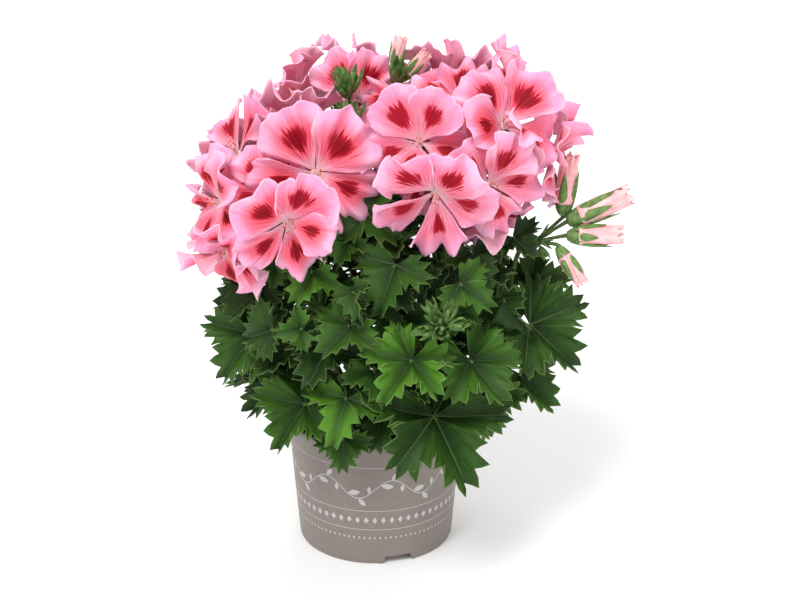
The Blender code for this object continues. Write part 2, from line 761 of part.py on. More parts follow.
def buildSoil(look):
    draw = random.Random("soil")
    frame, count, gap = Matrix(), soil["segments"], soil["gap"]
    low, top = pot["floor"] + gap, soil["top"]
    hole = crown["footRadius"] + 0.0007

    def inner(z):
        return (wallRadius(z) - pot["wall"]) * math.cos(math.pi / pot["segments"]) - gap - 0.0001

    rings = [[Vector((0, 0, low))], circle(frame, inner(low), count, low), circle(frame, inner(top), count, top)]
    for radius in (0.044, 0.028, 0.015):
        ring = circle(frame, radius, count, top + 0.0004)
        rings.append([p + Vector((0, 0, draw.uniform(-1, 1) * soil["lump"])) for p in ring])
    rings.append(circle(frame, hole, count, top + 0.0004))
    rings.append(circle(frame, hole, count, crown["foot"] - soil["holeGap"]))
    rings.append([Vector((0, 0, crown["foot"] - soil["holeGap"]))])
    body = objectOf("soil", *ringShell(rings))
    reach = wallRadius(0)
    cutters = []
    for turn in pot["notchDegrees"]:
        near = reach - pot["notchDepth"] - 0.0014 - gap
        cutters.append(block("clear", turn, pot["notchWidth"] + 0.0037, pot["notchTopWidth"] + 0.0037,
                             0, pot["notchHeight"] + 0.0014 + gap, near, reach + 0.003))
    joined("soil", body, cutters, "DIFFERENCE")
    return finished(body, look)


def buildCrown(look):
    foot, fork = Vector((0, 0, crown["foot"])), Vector((0, 0, crown["fork"]))
    trunk = [foot, foot.lerp(fork, 0.7), fork, fork + Vector((0, 0, 0.003))]
    radii = [crown["footRadius"], crown["footRadius"], crown["forkRadius"] + 0.001, crown["forkRadius"] * 0.7]
    skins = [tubeShell(trunk, radii, 6)]
    for shoot in shoots.values():
        aim = facing(*shoot["aim"])
        skins.append(tubeShell([fork, fork + aim * crown["stub"]], [stemRadius["low"] + 0.0002] * 2, 5, aim, aim))
    return fused("crown", skins, look)


def buildAll():
    for old in list(bpy.data.objects):
        bpy.data.objects.remove(old)
    paths, headPlan, sprayPlan = planPlant()
    plastic = material("pot_plastic", (0.27, 0.22, 0.20), 0.55)
    earth = material("soil_earth", (0.030, 0.020, 0.014), 0.95)
    wood = material("crown_wood", (0.16, 0.12, 0.06), 0.8)
    foliage = material("foliage", (0.075, 0.17, 0.035), 0.55)
    stalk = material("stalk_green", (0.14, 0.24, 0.06), 0.55)
    petalPink = material("petal_pink", (0.75, 0.28, 0.42), 0.6)
    budPink = material("bud_pink", (0.80, 0.42, 0.45), 0.6)
    buildPot(plastic)
    buildSoil(earth)
    buildCrown(wood)
    for name, shoot in paths.items():
        skins = [shoot["skin"]]
        for part in shoot["parts"]:
            skins += list(part["skins"])
        fused("shoot_" + name, skins, foliage)
    for name, head in headPlan.items():
        fused("truss_" + name, head["parts"], stalk)
        for bloom in head["blooms"]:
            skins = [receptacleShell(bloom["frame"])] + [petal["skin"] for petal in bloom["petals"]]
            fused(bloom["name"], skins, petalPink)
    for name, spray in sprayPlan.items():
        fused("buds_" + name, spray["parts"], stalk)
        for bud in spray["pinks"]:
            fused(bud["name"], [bud["skin"]], budPink)


buildAll()
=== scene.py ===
# The looks of a potted regal pelargonium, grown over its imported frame.
# Lengths are in metres, +Z is up, and the front of the plant faces -Y.

import json
import math
import random

import bmesh
import bpy
from mathutils import Matrix, Vector, noise
from mathutils.bvhtree import BVHTree

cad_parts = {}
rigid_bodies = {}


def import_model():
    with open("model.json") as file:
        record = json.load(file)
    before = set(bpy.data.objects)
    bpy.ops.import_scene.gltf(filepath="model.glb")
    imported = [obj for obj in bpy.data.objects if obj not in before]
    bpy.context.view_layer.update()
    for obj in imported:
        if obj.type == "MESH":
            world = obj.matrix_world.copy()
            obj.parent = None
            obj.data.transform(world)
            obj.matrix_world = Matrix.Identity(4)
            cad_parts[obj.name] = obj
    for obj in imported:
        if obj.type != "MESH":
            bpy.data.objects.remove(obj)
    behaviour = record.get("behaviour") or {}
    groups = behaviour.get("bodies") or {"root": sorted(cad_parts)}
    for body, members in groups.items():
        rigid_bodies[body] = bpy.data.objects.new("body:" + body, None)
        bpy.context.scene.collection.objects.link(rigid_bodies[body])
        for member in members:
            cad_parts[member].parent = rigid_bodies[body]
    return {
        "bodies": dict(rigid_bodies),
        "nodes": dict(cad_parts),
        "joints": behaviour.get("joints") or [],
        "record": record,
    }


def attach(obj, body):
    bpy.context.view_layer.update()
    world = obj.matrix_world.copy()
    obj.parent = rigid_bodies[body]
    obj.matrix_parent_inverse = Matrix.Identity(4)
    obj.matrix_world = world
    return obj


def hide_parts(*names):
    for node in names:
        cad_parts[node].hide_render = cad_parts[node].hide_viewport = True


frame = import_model()

# Driving dimensions, in metres unless a name says degrees.
pot = {
    "rimRadius": 0.060,
    "footRadius": 0.052,
    "height": 0.090,
    "wall": 0.0014,
    "lipDepth": 0.004,
    "lipStep": 0.0008,
    "floor": 0.0014,
    "notchDegrees": (17, 137, 257),
    "notchWidth": 0.022,
    "notchTopWidth": 0.017,
    "notchHeight": 0.0055,
    "notchDepth": 0.009,
}
soil = {"top": 0.082, "gap": 0.0003, "lump": 0.0016, "holeGap": 0.0003}
crown = {"foot": 0.058, "fork": 0.092, "footRadius": 0.0062, "stub": 0.016}
stemRadius = {"low": 0.0031, "high": 0.0024}
petioleRadius = 0.0011
pedicelRadius = 0.0011
sprayRadius = 0.0017
forkDrop = 0.002  # how far below its node a flower head's stalks part
bladeThickness = 0.0008
seatGap = 0.0003
testMargin = 0.0005
mergeGap = 0.000002
circleTurn = 2 * math.pi


# Directions and curves. An azimuth of 0 faces the front, 90 the right, and 180 the back.

def facing(azimuth, elevation):
    turn, rise = math.radians(azimuth), math.radians(elevation)
    return Vector((math.sin(turn) * math.cos(rise), -math.cos(turn) * math.cos(rise), math.sin(rise)))


def inMetres(point):
    return Vector(point) * 0.001


def around(radius, turn, lift):
    return Vector((radius * math.cos(turn), radius * math.sin(turn), lift))


def spun(frame, degrees, axis):
    return frame @ Matrix.Rotation(math.radians(degrees), 4, axis)


def frameOf(origin, yAxis, zHint):
    # a frame with its Y axis kept and its Z axis as near the hint as it can be
    y = yAxis.normalized()
    z = zHint - y * zHint.dot(y)
    if z.length < 0.05:
        z = Vector((0, 0, 1)) - y * y.z
    if z.length < 0.05:
        z = Vector((0, -1, 0)) - y * -y.y
    z.normalize()
    x = y.cross(z)
    frame = Matrix((x, y, z)).transposed().to_4x4()
    frame.translation = origin
    return frame


def bezier(a, b, c, d, count):
    points = []
    for i in range(count + 1):
        t = i / count
        s = 1 - t
        points.append(a * s**3 + b * 3 * s * s * t + c * 3 * s * t * t + d * t**3)
    return points


def arched(start, startAim, end, endAim, count, pull=0.35):
    reach = (end - start).length * pull
    return bezier(start, start + startAim * reach, end - endAim * reach, end, count)


def ringFrames(points, startAim=None, endAim=None):
    # frames along a path, each turned as little as it can be from the one before
    frames = []
    side = None
    for i, point in enumerate(points):
        ahead = points[min(i + 1, len(points) - 1)] - points[max(i - 1, 0)]
        if i == 0 and startAim:
            ahead = startAim.copy()
        if i == len(points) - 1 and endAim:
            ahead = endAim.copy()
        ahead.normalize()
        if side is None:
            side = ahead.orthogonal().normalized()
        side = (side - ahead * side.dot(ahead)).normalized()
        frame = Matrix((side, ahead.cross(side), ahead)).transposed().to_4x4()
        frame.translation = point
        frames.append(frame)
    return frames


# The forms of one leaf and one petal, as formulas.

def leafForm(length, lobes, draw):
    spread = math.radians(156 if lobes == 5 else 124)
    return {
        "length": length,
        "spread": spread,
        "lobeAngle": 2 * spread / lobes,
        "cut": draw.uniform(0.20, 0.30) if lobes == 5 else draw.uniform(0.26, 0.36),
        "tooth": draw.uniform(0.085, 0.11),
        "cup": draw.uniform(0.02, 0.16),
        "droop": draw.uniform(0.05, 0.22),
        "pleat": draw.uniform(0.035, 0.06),
        "fold": draw.uniform(0.0, 0.16),
        "wave": draw.uniform(0.02, 0.05),
        "phase": draw.uniform(0, 6.28),
    }


def leafRim(angle, leaf):
    # the blade's reach at an angle from its midrib: lobes, shorter towards the stalk, with pointed teeth
    away = abs(angle) / leaf["spread"]
    lobe = 0.5 + 0.5 * math.cos(circleTurn * angle / leaf["lobeAngle"])
    step = (angle + leaf["spread"]) / (leaf["lobeAngle"] / 4) + 1
    tooth = 1 - 2 * abs(step % 2 - 1)
    reach = (1 - 0.30 * away**1.5) * (1 - leaf["cut"] * (1 - lobe) ** 1.3)
    return leaf["length"] * reach * (1 + leaf["tooth"] * tooth)


def leafPoint(share, angle, leaf):
    # share is 0 at the stalk and 1 at the edge. +Y is the midrib, and +Z the upper face
    length = leaf["length"]
    reach = leafRim(angle, leaf) * share
    x, y = reach * math.sin(angle), reach * math.cos(angle)
    vein = math.cos(circleTurn * angle / leaf["lobeAngle"])
    z = length * (leaf["cup"] * share**2 - leaf["droop"] * (y / length) ** 2 * (1 if y > 0 else 0.3))
    z += length * leaf["pleat"] * share * (0.4 - vein) + leaf["fold"] * abs(x)
    z += length * leaf["wave"] * share**2 * math.sin(3 * angle + leaf["phase"])
    return Vector((x, y, z))


def petalForm(length, upper, draw):
    return {
        "length": length,
        "columns": 3 if upper else 2,
        "halfAngle": math.radians(draw.uniform(41, 45) if upper else draw.uniform(34, 38)),
        "depth": length * draw.uniform(0.22, 0.30),
        "curl": length * draw.uniform(0.04, 0.14),
        "cup": draw.uniform(-0.04, 0.10),
        "ruffle": draw.uniform(0.04, 0.07),
        "waves": draw.uniform(0.9, 1.3),
        "phase": draw.uniform(0, 6.28),
    }


def petalPoint(along, across, petal):
    # along is 0 at the throat and 1 at the outer edge. +Y leads outwards, and +Z to the flower's face
    length = petal["length"]
    reach = length * along * (1 - along * (0.12 * across**2 + 0.18 * across**6))
    swing = across * petal["halfAngle"] * (0.6 + 0.4 * along)
    z = petal["depth"] * (2 * along - along**2) - petal["curl"] * along**4
    z += length * petal["cup"] * across**2 * along
    z += length * petal["ruffle"] * along**3 * math.sin(petal["waves"] * math.pi * across + petal["phase"])
    return Vector((reach * math.sin(swing), reach * math.cos(swing), z))


# Skins: points and faces of closed bodies.

def sheetOf(rows):
    # triangles over rows of points, where a row has as many steps as the one before or a multiple of them
    points = [p for row in rows for p in row]
    faces = []
    start = 0
    for inner, outer in zip(rows, rows[1:]):
        after = start + len(inner)
        steps = max(len(inner) - 1, 1)
        cuts = (len(outer) - 1) // steps
        for i in range(steps):
            left, right = start + i, start + min(i + 1, len(inner) - 1)
            base = after + i * cuts
            middle = cuts if len(inner) == 1 else (cuts + 1) // 2
            for k in range(middle):
                faces.append((left, base + k + 1, base + k))
            if len(inner) > 1:
                faces.append((left, right, base + middle))
            for k in range(middle, cuts):
                faces.append((right, base + k + 1, base + k))
        start = after
    return points, faces


def thickened(rows, frame, half):
    # the sheet over the rows, with this much on both sides of it
    flat, faces = sheetOf(rows)
    normals = [Vector((0, 0, 0)) for _ in flat]
    edges = set()
    for a, b, c in faces:
        normal = (flat[b] - flat[a]).cross(flat[c] - flat[a])
        for k in (a, b, c):
            normals[k] += normal
        edges |= {(a, b), (b, c), (c, a)}
    normals = [n.normalized() * half for n in normals]
    points = [frame @ (p + n) for p, n in zip(flat, normals)]
    points += [frame @ (p - n) for p, n in zip(flat, normals)]
    count = len(flat)
    skin = list(faces) + [(a + count, c + count, b + count) for a, b, c in faces]
    for a, b in sorted(edges):
        if (b, a) not in edges:
            skin += [(b, a, a + count), (b, a + count, b + count)]
    return points, skin


def petalShell(petal, frame, half):
    rows = [[petalPoint(0.03, 0, petal)]]
    for along, cuts in ((0.5, 1), (1.0, 2)):
        steps = petal["columns"] * cuts
        rows.append([petalPoint(along, 2 * j / steps - 1, petal) for j in range(steps + 1)])
    return thickened(rows, frame, half)


def leafShell(leaf, frame, half):
    rows = [[Vector((0, 0, 0))]]
    for share, cuts in ((0.55, 1), (1.0, 4)):
        steps = round(2 * leaf["spread"] / leaf["lobeAngle"]) * cuts
        rows.append([leafPoint(share, leaf["spread"] * (2 * j / steps - 1), leaf) for j in range(steps + 1)])
    return thickened(rows, frame, half)


def ringShell(rings):
    # rings of points, each as long as the one before or a single point, closed at both ends
    points = [p for ring in rings for p in ring]
    faces = []
    start = 0
    first, last = rings[0], rings[-1]
    if len(first) > 1:
        faces.append(tuple(reversed(range(len(first)))))
    for low, high in zip(rings, rings[1:]):
        after = start + len(low)
        count = max(len(low), len(high))
        for k in range(count):
            a, b = start + k % len(low), start + (k + 1) % len(low)
            c, d = after + k % len(high), after + (k + 1) % len(high)
            corners = [a, b, d, c]
            faces.append(tuple(dict.fromkeys(corners)))
        start = after
    if len(last) > 1:
        faces.append(tuple(range(start, start + len(last))))
    return points, faces


def circle(frame, radius, count, lift=0.0):
    return [frame @ around(radius, circleTurn * k / count, lift) for k in range(count)]


def tubeShell(points, radii, sides, startAim=None, endAim=None):
    frames = ringFrames(points, startAim, endAim)
    return ringShell([circle(frame, radius, sides) for frame, radius in zip(frames, radii)])


def spindleShell(points, radii, sides):
    # a tube that ends in a point
    frames = ringFrames(points)
    rings = [circle(frame, radius, sides) for frame, radius in zip(frames[:-1], radii)]
    return ringShell(rings + [[points[-1]]])


calyx = {
    "seat": 0.0030,
    "starRadius": 0.0095,
    "starBack": 0.0042,
    "notchRadius": 0.0034,
    "notchBack": 0.0002,
    "foot": 0.0095,
    "overlap": 0.0025,
}
receptacle = {"rings": ((-0.0027, 0.0026), (0.0, 0.0042), (0.0026, 0.0028)), "tip": 0.0034}


def calyxShell(frame):
    star = []
    for k in range(10):
        radius = calyx["notchRadius"] if k % 2 else calyx["starRadius"]
        back = calyx["seat"] + calyx["notchBack"] if k % 2 else calyx["starBack"]
        star.append(frame @ around(radius, math.pi * k / 5, -back))
    foot, seat = (frame @ Vector((0, 0, -calyx[end])) for end in ("foot", "seat"))
    return ringShell([[foot], star, [seat]])


def receptacleShell(frame):
    rings = [circle(frame, radius, 5, lift) for lift, radius in receptacle["rings"]]
    return ringShell(rings + [[frame @ Vector((0, 0, receptacle["tip"]))]])


# What already stands, and whether a new blade or stalk is clear of it.

standing = []


def boxOf(points):
    low = [min(p[k] for p in points) for k in range(3)]
    high = [max(p[k] for p in points) for k in range(3)]
    return low, high


def isClear(points, faces, skip=()):
    low, high = boxOf(points)
    tree = None
    for owner, (otherLow, otherHigh), other in standing:
        if owner in skip or any(low[k] > otherHigh[k] or high[k] < otherLow[k] for k in range(3)):
            continue
        tree = tree or BVHTree.FromPolygons(points, faces)
        if tree.overlap(other):
            return False
    return True


def stand(owner, points, faces):
    standing.append((owner, boxOf(points), BVHTree.FromPolygons(points, faces)))


# The leafy shoots: the way each leaves the crown, where its tip stands in millimetres, and the tip's way.

shoots = {
    "front": {"aim": (10, 35), "tip": (34, -60, 160), "tipAim": (5, 70)},
    "front_left": {"aim": (-35, 35), "tip": (-34, -46, 186), "tipAim": (-10, 75)},
    "left": {"aim": (-85, 35), "tip": (-58, -6, 180), "tipAim": (-60, 80)},
    "back_left": {"aim": (-140, 35), "tip": (-50, 50, 165), "tipAim": (-140, 60)},
    "back": {"aim": (175, 40), "tip": (-18, 50, 195), "tipAim": (180, 80)},
    "back_right": {"aim": (130, 35), "tip": (52, 48, 168), "tipAim": (130, 60)},
    "right": {"aim": (85, 35), "tip": (82, -14, 165), "tipAim": (80, 60)},
    "inner_right": {"aim": (60, 60), "tip": (46, -6, 190), "tipAim": (60, 80)},
    "middle": {"aim": (-100, 75), "tip": (-6, 8, 215), "tipAim": (0, 88)},
}

# The flower heads: the shoot that carries each, where its stalks part, and its blooms.
# A bloom is its throat in millimetres, the way it faces, its spin in degrees, and the length of its
# petals in millimetres.

heads = {
    "left": {"shoot": "left", "node": (-62, -12, 236), "blooms": (
        ((-36, -46, 274), (4, 14), -6, 45),
        ((-52, -78, 254), (16, -8), 22, 40),
        ((-95, -38, 252), (-55, 10), 0, 36),
        ((-92, -48, 226), (-40, -30), 0, 38),
        ((-86, -4, 272), (-60, 45), 20, 36),
        ((-52, 16, 284), (-170, 60), 0, 38),
        ((-90, 30, 244), (-125, 15), 0, 37),
    )},
    "right": {"shoot": "inner_right", "node": (58, -12, 258), "blooms": (
        ((38, -70, 270), (-3, -26), 6, 42),
        ((70, -56, 270), (28, -2), 20, 38),
        ((29, -50, 294), (-14, 26), 6, 37),
        ((80, -38, 301), (35, 35), -20, 40),
        ((54, -30, 310), (0, 58), 30, 34),
        ((22, -8, 306), (-50, 45), 0, 36),
        ((48, 22, 312), (175, 62), 0, 38),
        ((92, 16, 304), (100, 50), 0, 38),
        ((110, -14, 274), (70, 8), 0, 36),
        ((72, -34, 246), (25, -50), 0, 34),
    )},
    "back": {"shoot": "back", "node": (-20, 46, 262), "blooms": (
        ((-12, 28, 298), (0, 38), 0, 35),
        ((-46, 58, 282), (-130, 45), 0, 36),
        ((6, 74, 280), (150, 35), 0, 37),
    )},
}

# The sprays of buds: the shoot, then for each umbel its node in millimetres, the way it faces, how many
# green buds, their fan in degrees and their length in millimetres. A pink bud is its foot, its tip and
# its greatest radius in millimetres, and the umbel that it stands on.

sprays = {
    "top": {
        "shoot": "middle",
        "umbels": (
            ((-15, -12, 286), (-15, 60), 4, 34, 17),
            ((-16, 6, 303), (-10, 75), 4, 34, 16),
            ((14, 4, 312), (10, 80), 4, 30, 18),
        ),
        "pink": (((13, 3, 325), (17, 6, 345), 4.2, 2), ((21, 2, 322), (33, -1, 337), 3.8, 2)),
    },
    "front": {"shoot": "front", "umbels": (((42, -90, 188), (0, 48), 6, 56, 14),), "pink": ()},
    "front_left": {"shoot": "front_left", "umbels": (((-30, -74, 236), (4, 40), 4, 50, 12),), "pink": ()},
    "right": {
        "shoot": "right",
        "umbels": (((104, -22, 219), (70, 10), 3, 70, 9),),
        "pink": (
            ((121, -18, 240), (124, -16, 274), 6.0, 0),
            ((127, -24, 235), (161, -22, 250), 6.5, 0),
            ((127, -30, 226), (156, -34, 228), 6.0, 0),
            ((119, -36, 217), (132, -43, 199), 4.6, 0),
        ),
    },
}

# The leaves that show: the stalk's end in millimetres, the way the midrib runs, the way the upper face
# looks, and the length of the blade in millimetres.

leaves = (
    ((38, -86, 126), (40, -44), (5, 46), 56),
    ((100, -38, 168), (70, -34), (15, 42), 46),
    ((-78, -28, 157), (-66, -42), (-15, 38), 42),
    ((24, -92, 172), (-30, -27), (0, 60), 41),
    ((-14, -84, 140), (-16, -31), (0, 60), 37),
    ((60, -84, 163), (46, -31), (14, 58), 40),
    ((-42, -62, 128), (-40, -37), (-18, 52), 42),
    ((96, -20, 184), (78, 0), (10, 52), 39),
    ((-78, -10, 172), (-82, -10), (-20, 58), 40),
    ((66, -66, 132), (52, -62), (20, 24), 38),
    ((-12, -80, 184), (-48, -25), (-5, 64), 33),
    ((14, -70, 222), (-36, -45), (-18, 44), 35),
    ((52, -78, 206), (66, -30), (10, 46), 31),
    ((-22, -86, 113), (-4, -74), (0, 14), 28),
    ((34, -90, 170), (52, -36), (8, 44), 24),
    ((-50, -46, 158), (-56, -25), (-10, 64), 36),
    ((88, -50, 188), (34, -60), (-48, 16), 31),
    ((94, -36, 132), (70, -41), (24, 48), 36),
    ((88, -32, 226), (50, -30), (10, 48), 24),
    ((-6, -50, 250), (50, -20), (-10, 40), 32),
    ((-20, -62, 236), (-20, -32), (0, 50), 22),
    ((-38, -58, 214), (-40, -44), (0, 44), 28),
    ((-60, -44, 172), (-40, -50), (44, 10), 30),
    ((4, -60, 116), (-6, -51), (0, 44), 34),
    ((-58, -34, 128), (-70, -37), (-30, 50), 38),
    ((-30, -66, 164), (-26, -35), (-6, 56), 34),
    ((-2, -74, 160), (14, -41), (4, 52), 32),
    ((60, -44, 222), (34, -25), (12, 62), 30),
    ((-70, -30, 192), (-52, -25), (-22, 62), 34),
)

# The leaves of the sides and back stand in tiers: height and radius in millimetres, how many, the first
# azimuth and the step in degrees, the way the midrib rises in degrees, and the length in millimetres.

leafTiers = (
    (122, 62, 5, 98, 41, -32, 44),
    (162, 74, 5, 90, 45, -18, 44),
    (204, 62, 3, 112, 62, -6, 38),
    (226, 34, 1, 185, 70, 20, 34),
)


def planShoots():
    paths = {}
    for name, shoot in shoots.items():
        aim, tipAim = facing(*shoot["aim"]), facing(*shoot["tipAim"])
        start = Vector((0, 0, crown["fork"])) + aim * (crown["stub"] + seatGap)
        path = arched(start, aim, inMetres(shoot["tip"]), tipAim, 5)
        radii = [stemRadius["low"] + (stemRadius["high"] - stemRadius["low"]) * i / 5 for i in range(6)]
        stand("stem_" + name, *tubeShell(path, radii, 5, aim, tipAim))
        paths[name] = {"path": path, "aim": aim, "tipAim": tipAim, "parts": []}
    return paths


def standPot():
    inside = pot["rimRadius"] - pot["wall"]
    outline = (
        (pot["footRadius"], 0),
        (pot["rimRadius"], pot["height"]),
        (inside, pot["height"]),
        (inside, soil["top"] + soil["lump"]),
    )
    stand("pot", *ringShell([circle(Matrix(), radius, 24, height) for radius, height in outline]))


def bloomFrame(throat, aim, spin):
    axis = facing(*aim)
    up = Vector((0, 0, 1)) - axis * axis.z
    return spun(frameOf(inMetres(throat), up, axis), spin, "Z")


def pedicelPath(node, frame, axis):
    # a flower's stalk, from below the node of its head to the flower's back
    fork = node - Vector((0, 0, forkDrop))
    end = frame.translation - axis * (calyx["foot"] - calyx["overlap"])
    return arched(fork, (end - fork).normalized(), end, axis, 2, 0.3)


def newBloom(name, frame, length):
    stand("heart_" + name, *receptacleShell(frame))
    return {"name": name, "frame": frame, "length": length, "petals": []}


def planHeads(paths):
    # the stalks and calyces of every head stand before its petals
    plan = {}
    for headName, head in heads.items():
        shoot = paths[head["shoot"]]
        node = inMetres(head["node"])
        start = shoot["path"][-1] + shoot["tipAim"] * seatGap
        path = arched(start, shoot["tipAim"], node, Vector((0, 0, 1)), 3)
        owner = "truss_" + headName
        stand(owner, *tubeShell(path, [stemRadius["high"]] * 4, 5, shoot["tipAim"]))
        stalks, blooms = [], []
        for number, (throat, aim, spin, length) in enumerate(head["blooms"]):
            frame = bloomFrame(throat, aim, spin)
            stalks.append(pedicelPath(node, frame, frame.to_3x3().col[2].normalized()))
            stand(owner, *tubeShell(stalks[-1], [pedicelRadius] * 3, 3))
            stand(owner, *calyxShell(frame))
            blooms.append(newBloom(f"bloom_{headName}_{number + 1}", frame, length * 0.001))
        plan[headName] = {"path": path, "aim": shoot["tipAim"], "stalks": stalks, "blooms": blooms}
    return plan


petalPlan = {
    "turns": (36, -36, 109, -109, 180),
    "lifts": (8, 1, -5, -6, 2),
    "lowerShare": 0.94,
    "tries": 420,
    "triesPerStep": 160,
    "turn": 15,
    "lift": (-55, 60),
    "twist": 34,
    "shorten": 0.2,
}


def planPetals(bloom):
    # each petal is moved further until it is clear of what stands
    look = petalPlan
    heart = ("heart_" + bloom["name"],)
    for index, turn in enumerate(look["turns"]):
        draw = random.Random("petal " + bloom["name"] + str(index))
        shape = petalForm(bloom["length"] * (1.0 if index < 2 else look["lowerShare"]), index < 2, draw)
        lift = look["lifts"][index] + draw.uniform(-2, 4)
        for attempt in range(look["tries"]):
            loose = attempt / look["triesPerStep"]
            petal = dict(shape)
            petal["length"] = shape["length"] * (1 - look["shorten"] * loose)
            turned = turn + draw.uniform(-look["turn"], look["turn"]) * loose
            lifted = lift + draw.uniform(*look["lift"]) * loose
            twisted = draw.uniform(-look["twist"], look["twist"]) * min(loose + 0.2, 1)
            placed = spun(spun(spun(bloom["frame"], -turned, "Z"), lifted, "X"), twisted, "Y")
            if isClear(*petalShell(petal, placed, bladeThickness / 2 + testMargin), heart):
                stand(bloom["name"], *petalShell(petal, placed, bladeThickness / 2))
                bloom["petals"].append({"petal": petal, "frame": placed, "index": index})
                break


def coneAims(aim, count, fan):
    # directions that fan out evenly about an aim
    frame = frameOf(Vector((0, 0, 0)), aim, Vector((0, 0, 1)))
    aims = []
    for k in range(count):
        tilt = math.radians(fan) * math.sqrt((k + 0.4) / count)
        roll = k * 2.39996
        local = Vector((math.sin(tilt) * math.cos(roll), math.cos(tilt), math.sin(tilt) * math.sin(roll)))
        aims.append(frame.to_3x3() @ local)
    return aims


# How far below its node a bud's stalk starts, its radius there and below the bud, and where the neck of
# a pink bud's cup swells.
budPlan = {"lap": 0.0015, "stalk": 0.0009, "pinkTop": 0.0012, "greenTop": 0.001, "neck": (0.006, 0.003)}


def planPinkBud(name, foot, tip, radius, umbel, owner):
    foot, tip, node, wide = inMetres(foot), inMetres(tip), inMetres(umbel[0]), radius * 0.001
    along = (tip - foot).normalized()
    low = node - facing(*umbel[1]) * budPlan["lap"]
    cup = [low] + [foot - along * below for below in (*budPlan["neck"], seatGap)]
    radii = [budPlan["stalk"], budPlan["pinkTop"], wide * 0.6, wide * 0.75]
    stand(owner, *tubeShell(cup, radii, 5, None, along))
    marks = [foot + (tip - foot) * s for s in (0, 0.25, 0.6, 0.85)]
    stand(name, *spindleShell(marks + [tip], [wide * 0.6, wide * 0.9, wide, wide * 0.6], 5))
    return {"name": name, "foot": foot, "tip": tip, "radius": wide, "cup": cup}


def planSprays(paths):
    plan = {}
    for name, spray in sprays.items():
        shoot = paths[spray["shoot"]]
        start = shoot["path"][-1] + shoot["tipAim"] * seatGap
        owner = "buds_" + name
        stalks, greens, pinks = [], [], []
        for number, (foot, tip, radius, umbel) in enumerate(spray["pink"]):
            pinkName = f"pink_bud_{name}_{number + 1}"
            pinks.append(planPinkBud(pinkName, foot, tip, radius, spray["umbels"][umbel], owner))
        for place, aim, count, fan, length in spray["umbels"]:
            node, way = inMetres(place), facing(*aim)
            path = arched(start, shoot["tipAim"], node, way, 4)
            stalks.append(path)
            stand(owner, *tubeShell(path, [sprayRadius] * 5, 4, shoot["tipAim"]))
            size = length * 0.001
            radii = [budPlan["stalk"], budPlan["greenTop"], size * 0.19, size * 0.13]
            for direction in coneAims(way, count, fan):
                foot, tip = node + direction * size * 0.4, node + direction * size * 1.4
                middle = [foot + (tip - foot) * s for s in (0.35, 0.7)]
                marks = [node - way * budPlan["lap"], foot] + middle + [tip]
                if isClear(*spindleShell(marks, [r + testMargin for r in radii], 4), (owner,)):
                    stand(owner, *spindleShell(marks, radii, 4))
                    greens.append((node, foot, tip))
        plan[name] = {"aim": shoot["tipAim"], "stalks": stalks, "greens": greens, "pinks": pinks}
    return plan


def wantedLeaves():
    wanted = list(leaves)
    for height, radius, count, first, step, rise, length in leafTiers:
        for k in range(count):
            azimuth = first + k * step
            out = facing(azimuth, 0)
            place = (out.x * radius, out.y * radius, height)
            wanted.append((place, (azimuth, rise), (azimuth, 50 + rise * 0.3), length))
    return wanted


def planPetiole(frame, leaf, paths):
    # the nearest shoot from which a stalk reaches the blade and stays clear
    seat = frame @ leafPoint(0.03, 0, leaf)
    turned = frame.to_3x3()
    endAim = (turned.col[2] * 0.6 + turned.col[1] * 0.55).normalized()
    options = []
    for name, shoot in paths.items():
        for i in range(3, 15):
            step = i // 3
            point = shoot["path"][step].lerp(shoot["path"][step + 1], i / 3 - step)
            away = (seat - point).length
            if point.z < seat.z + 0.012 and away > 0.014:
                options.append((away, name, tuple(point)))
    for away, name, point in sorted(options)[:24]:
        point = Vector(point)
        out = seat - point
        startAim = (out.normalized() + Vector((0, 0, 0.35))).normalized()
        path = arched(point, startAim, seat + endAim * 0.001, endAim, 3, 0.32)
        skip = ("stem_" + name, "petiole_" + name)
        if isClear(*tubeShell(path, [petioleRadius + testMargin] * 4, 3), skip):
            return name, path
    return None


leafPlan = {"tries": 240, "shorten": 0.35, "shift": 0.02, "azimuth": 40, "elevation": 35}


def loosened(aim, draw, loose):
    # an aim that is turned at random, more with every try
    azimuth = aim[0] + draw.uniform(-leafPlan["azimuth"], leafPlan["azimuth"]) * loose
    return facing(azimuth, aim[1] + draw.uniform(-leafPlan["elevation"], leafPlan["elevation"]) * loose)


def standLeaf(number, leaf, frame, name, path, paths):
    stand(f"leaf_{number}", *leafShell(leaf, frame, bladeThickness / 2))
    paths[name]["parts"].append({"number": number, "leaf": leaf, "frame": frame, "path": path})


def planLeaves(paths):
    for number, (place, midrib, face, length) in enumerate(wantedLeaves()):
        draw = random.Random(f"leaf {number}")
        shape = leafForm(length * 0.001, 5 if length > 37 else 3, draw)
        for attempt in range(leafPlan["tries"]):
            loose = attempt / leafPlan["tries"]
            leaf = dict(shape)
            leaf["length"] = shape["length"] * (1 - leafPlan["shorten"] * loose)
            shift = Vector([draw.uniform(-1, 1) for _ in range(3)]) * leafPlan["shift"] * loose
            way = loosened(midrib, draw, loose)
            frame = frameOf(inMetres(place) + shift, way, loosened(face, draw, loose))
            if not isClear(*leafShell(leaf, frame, bladeThickness / 2 + testMargin)):
                continue
            stalk = planPetiole(frame, leaf, paths)
            if stalk:
                name, path = stalk
                standLeaf(number, leaf, frame, name, path, paths)
                stand("petiole_" + name, *tubeShell(path, [petioleRadius] * 4, 3))
                break
        else:
            print("no room for leaf", number, place)


def planPlant():
    standPot()
    paths = planShoots()
    headPlan = planHeads(paths)
    sprayPlan = planSprays(paths)
    for head in headPlan.values():
        for bloom in head["blooms"]:
            planPetals(bloom)
    planLeaves(paths)
    return paths, headPlan, sprayPlan


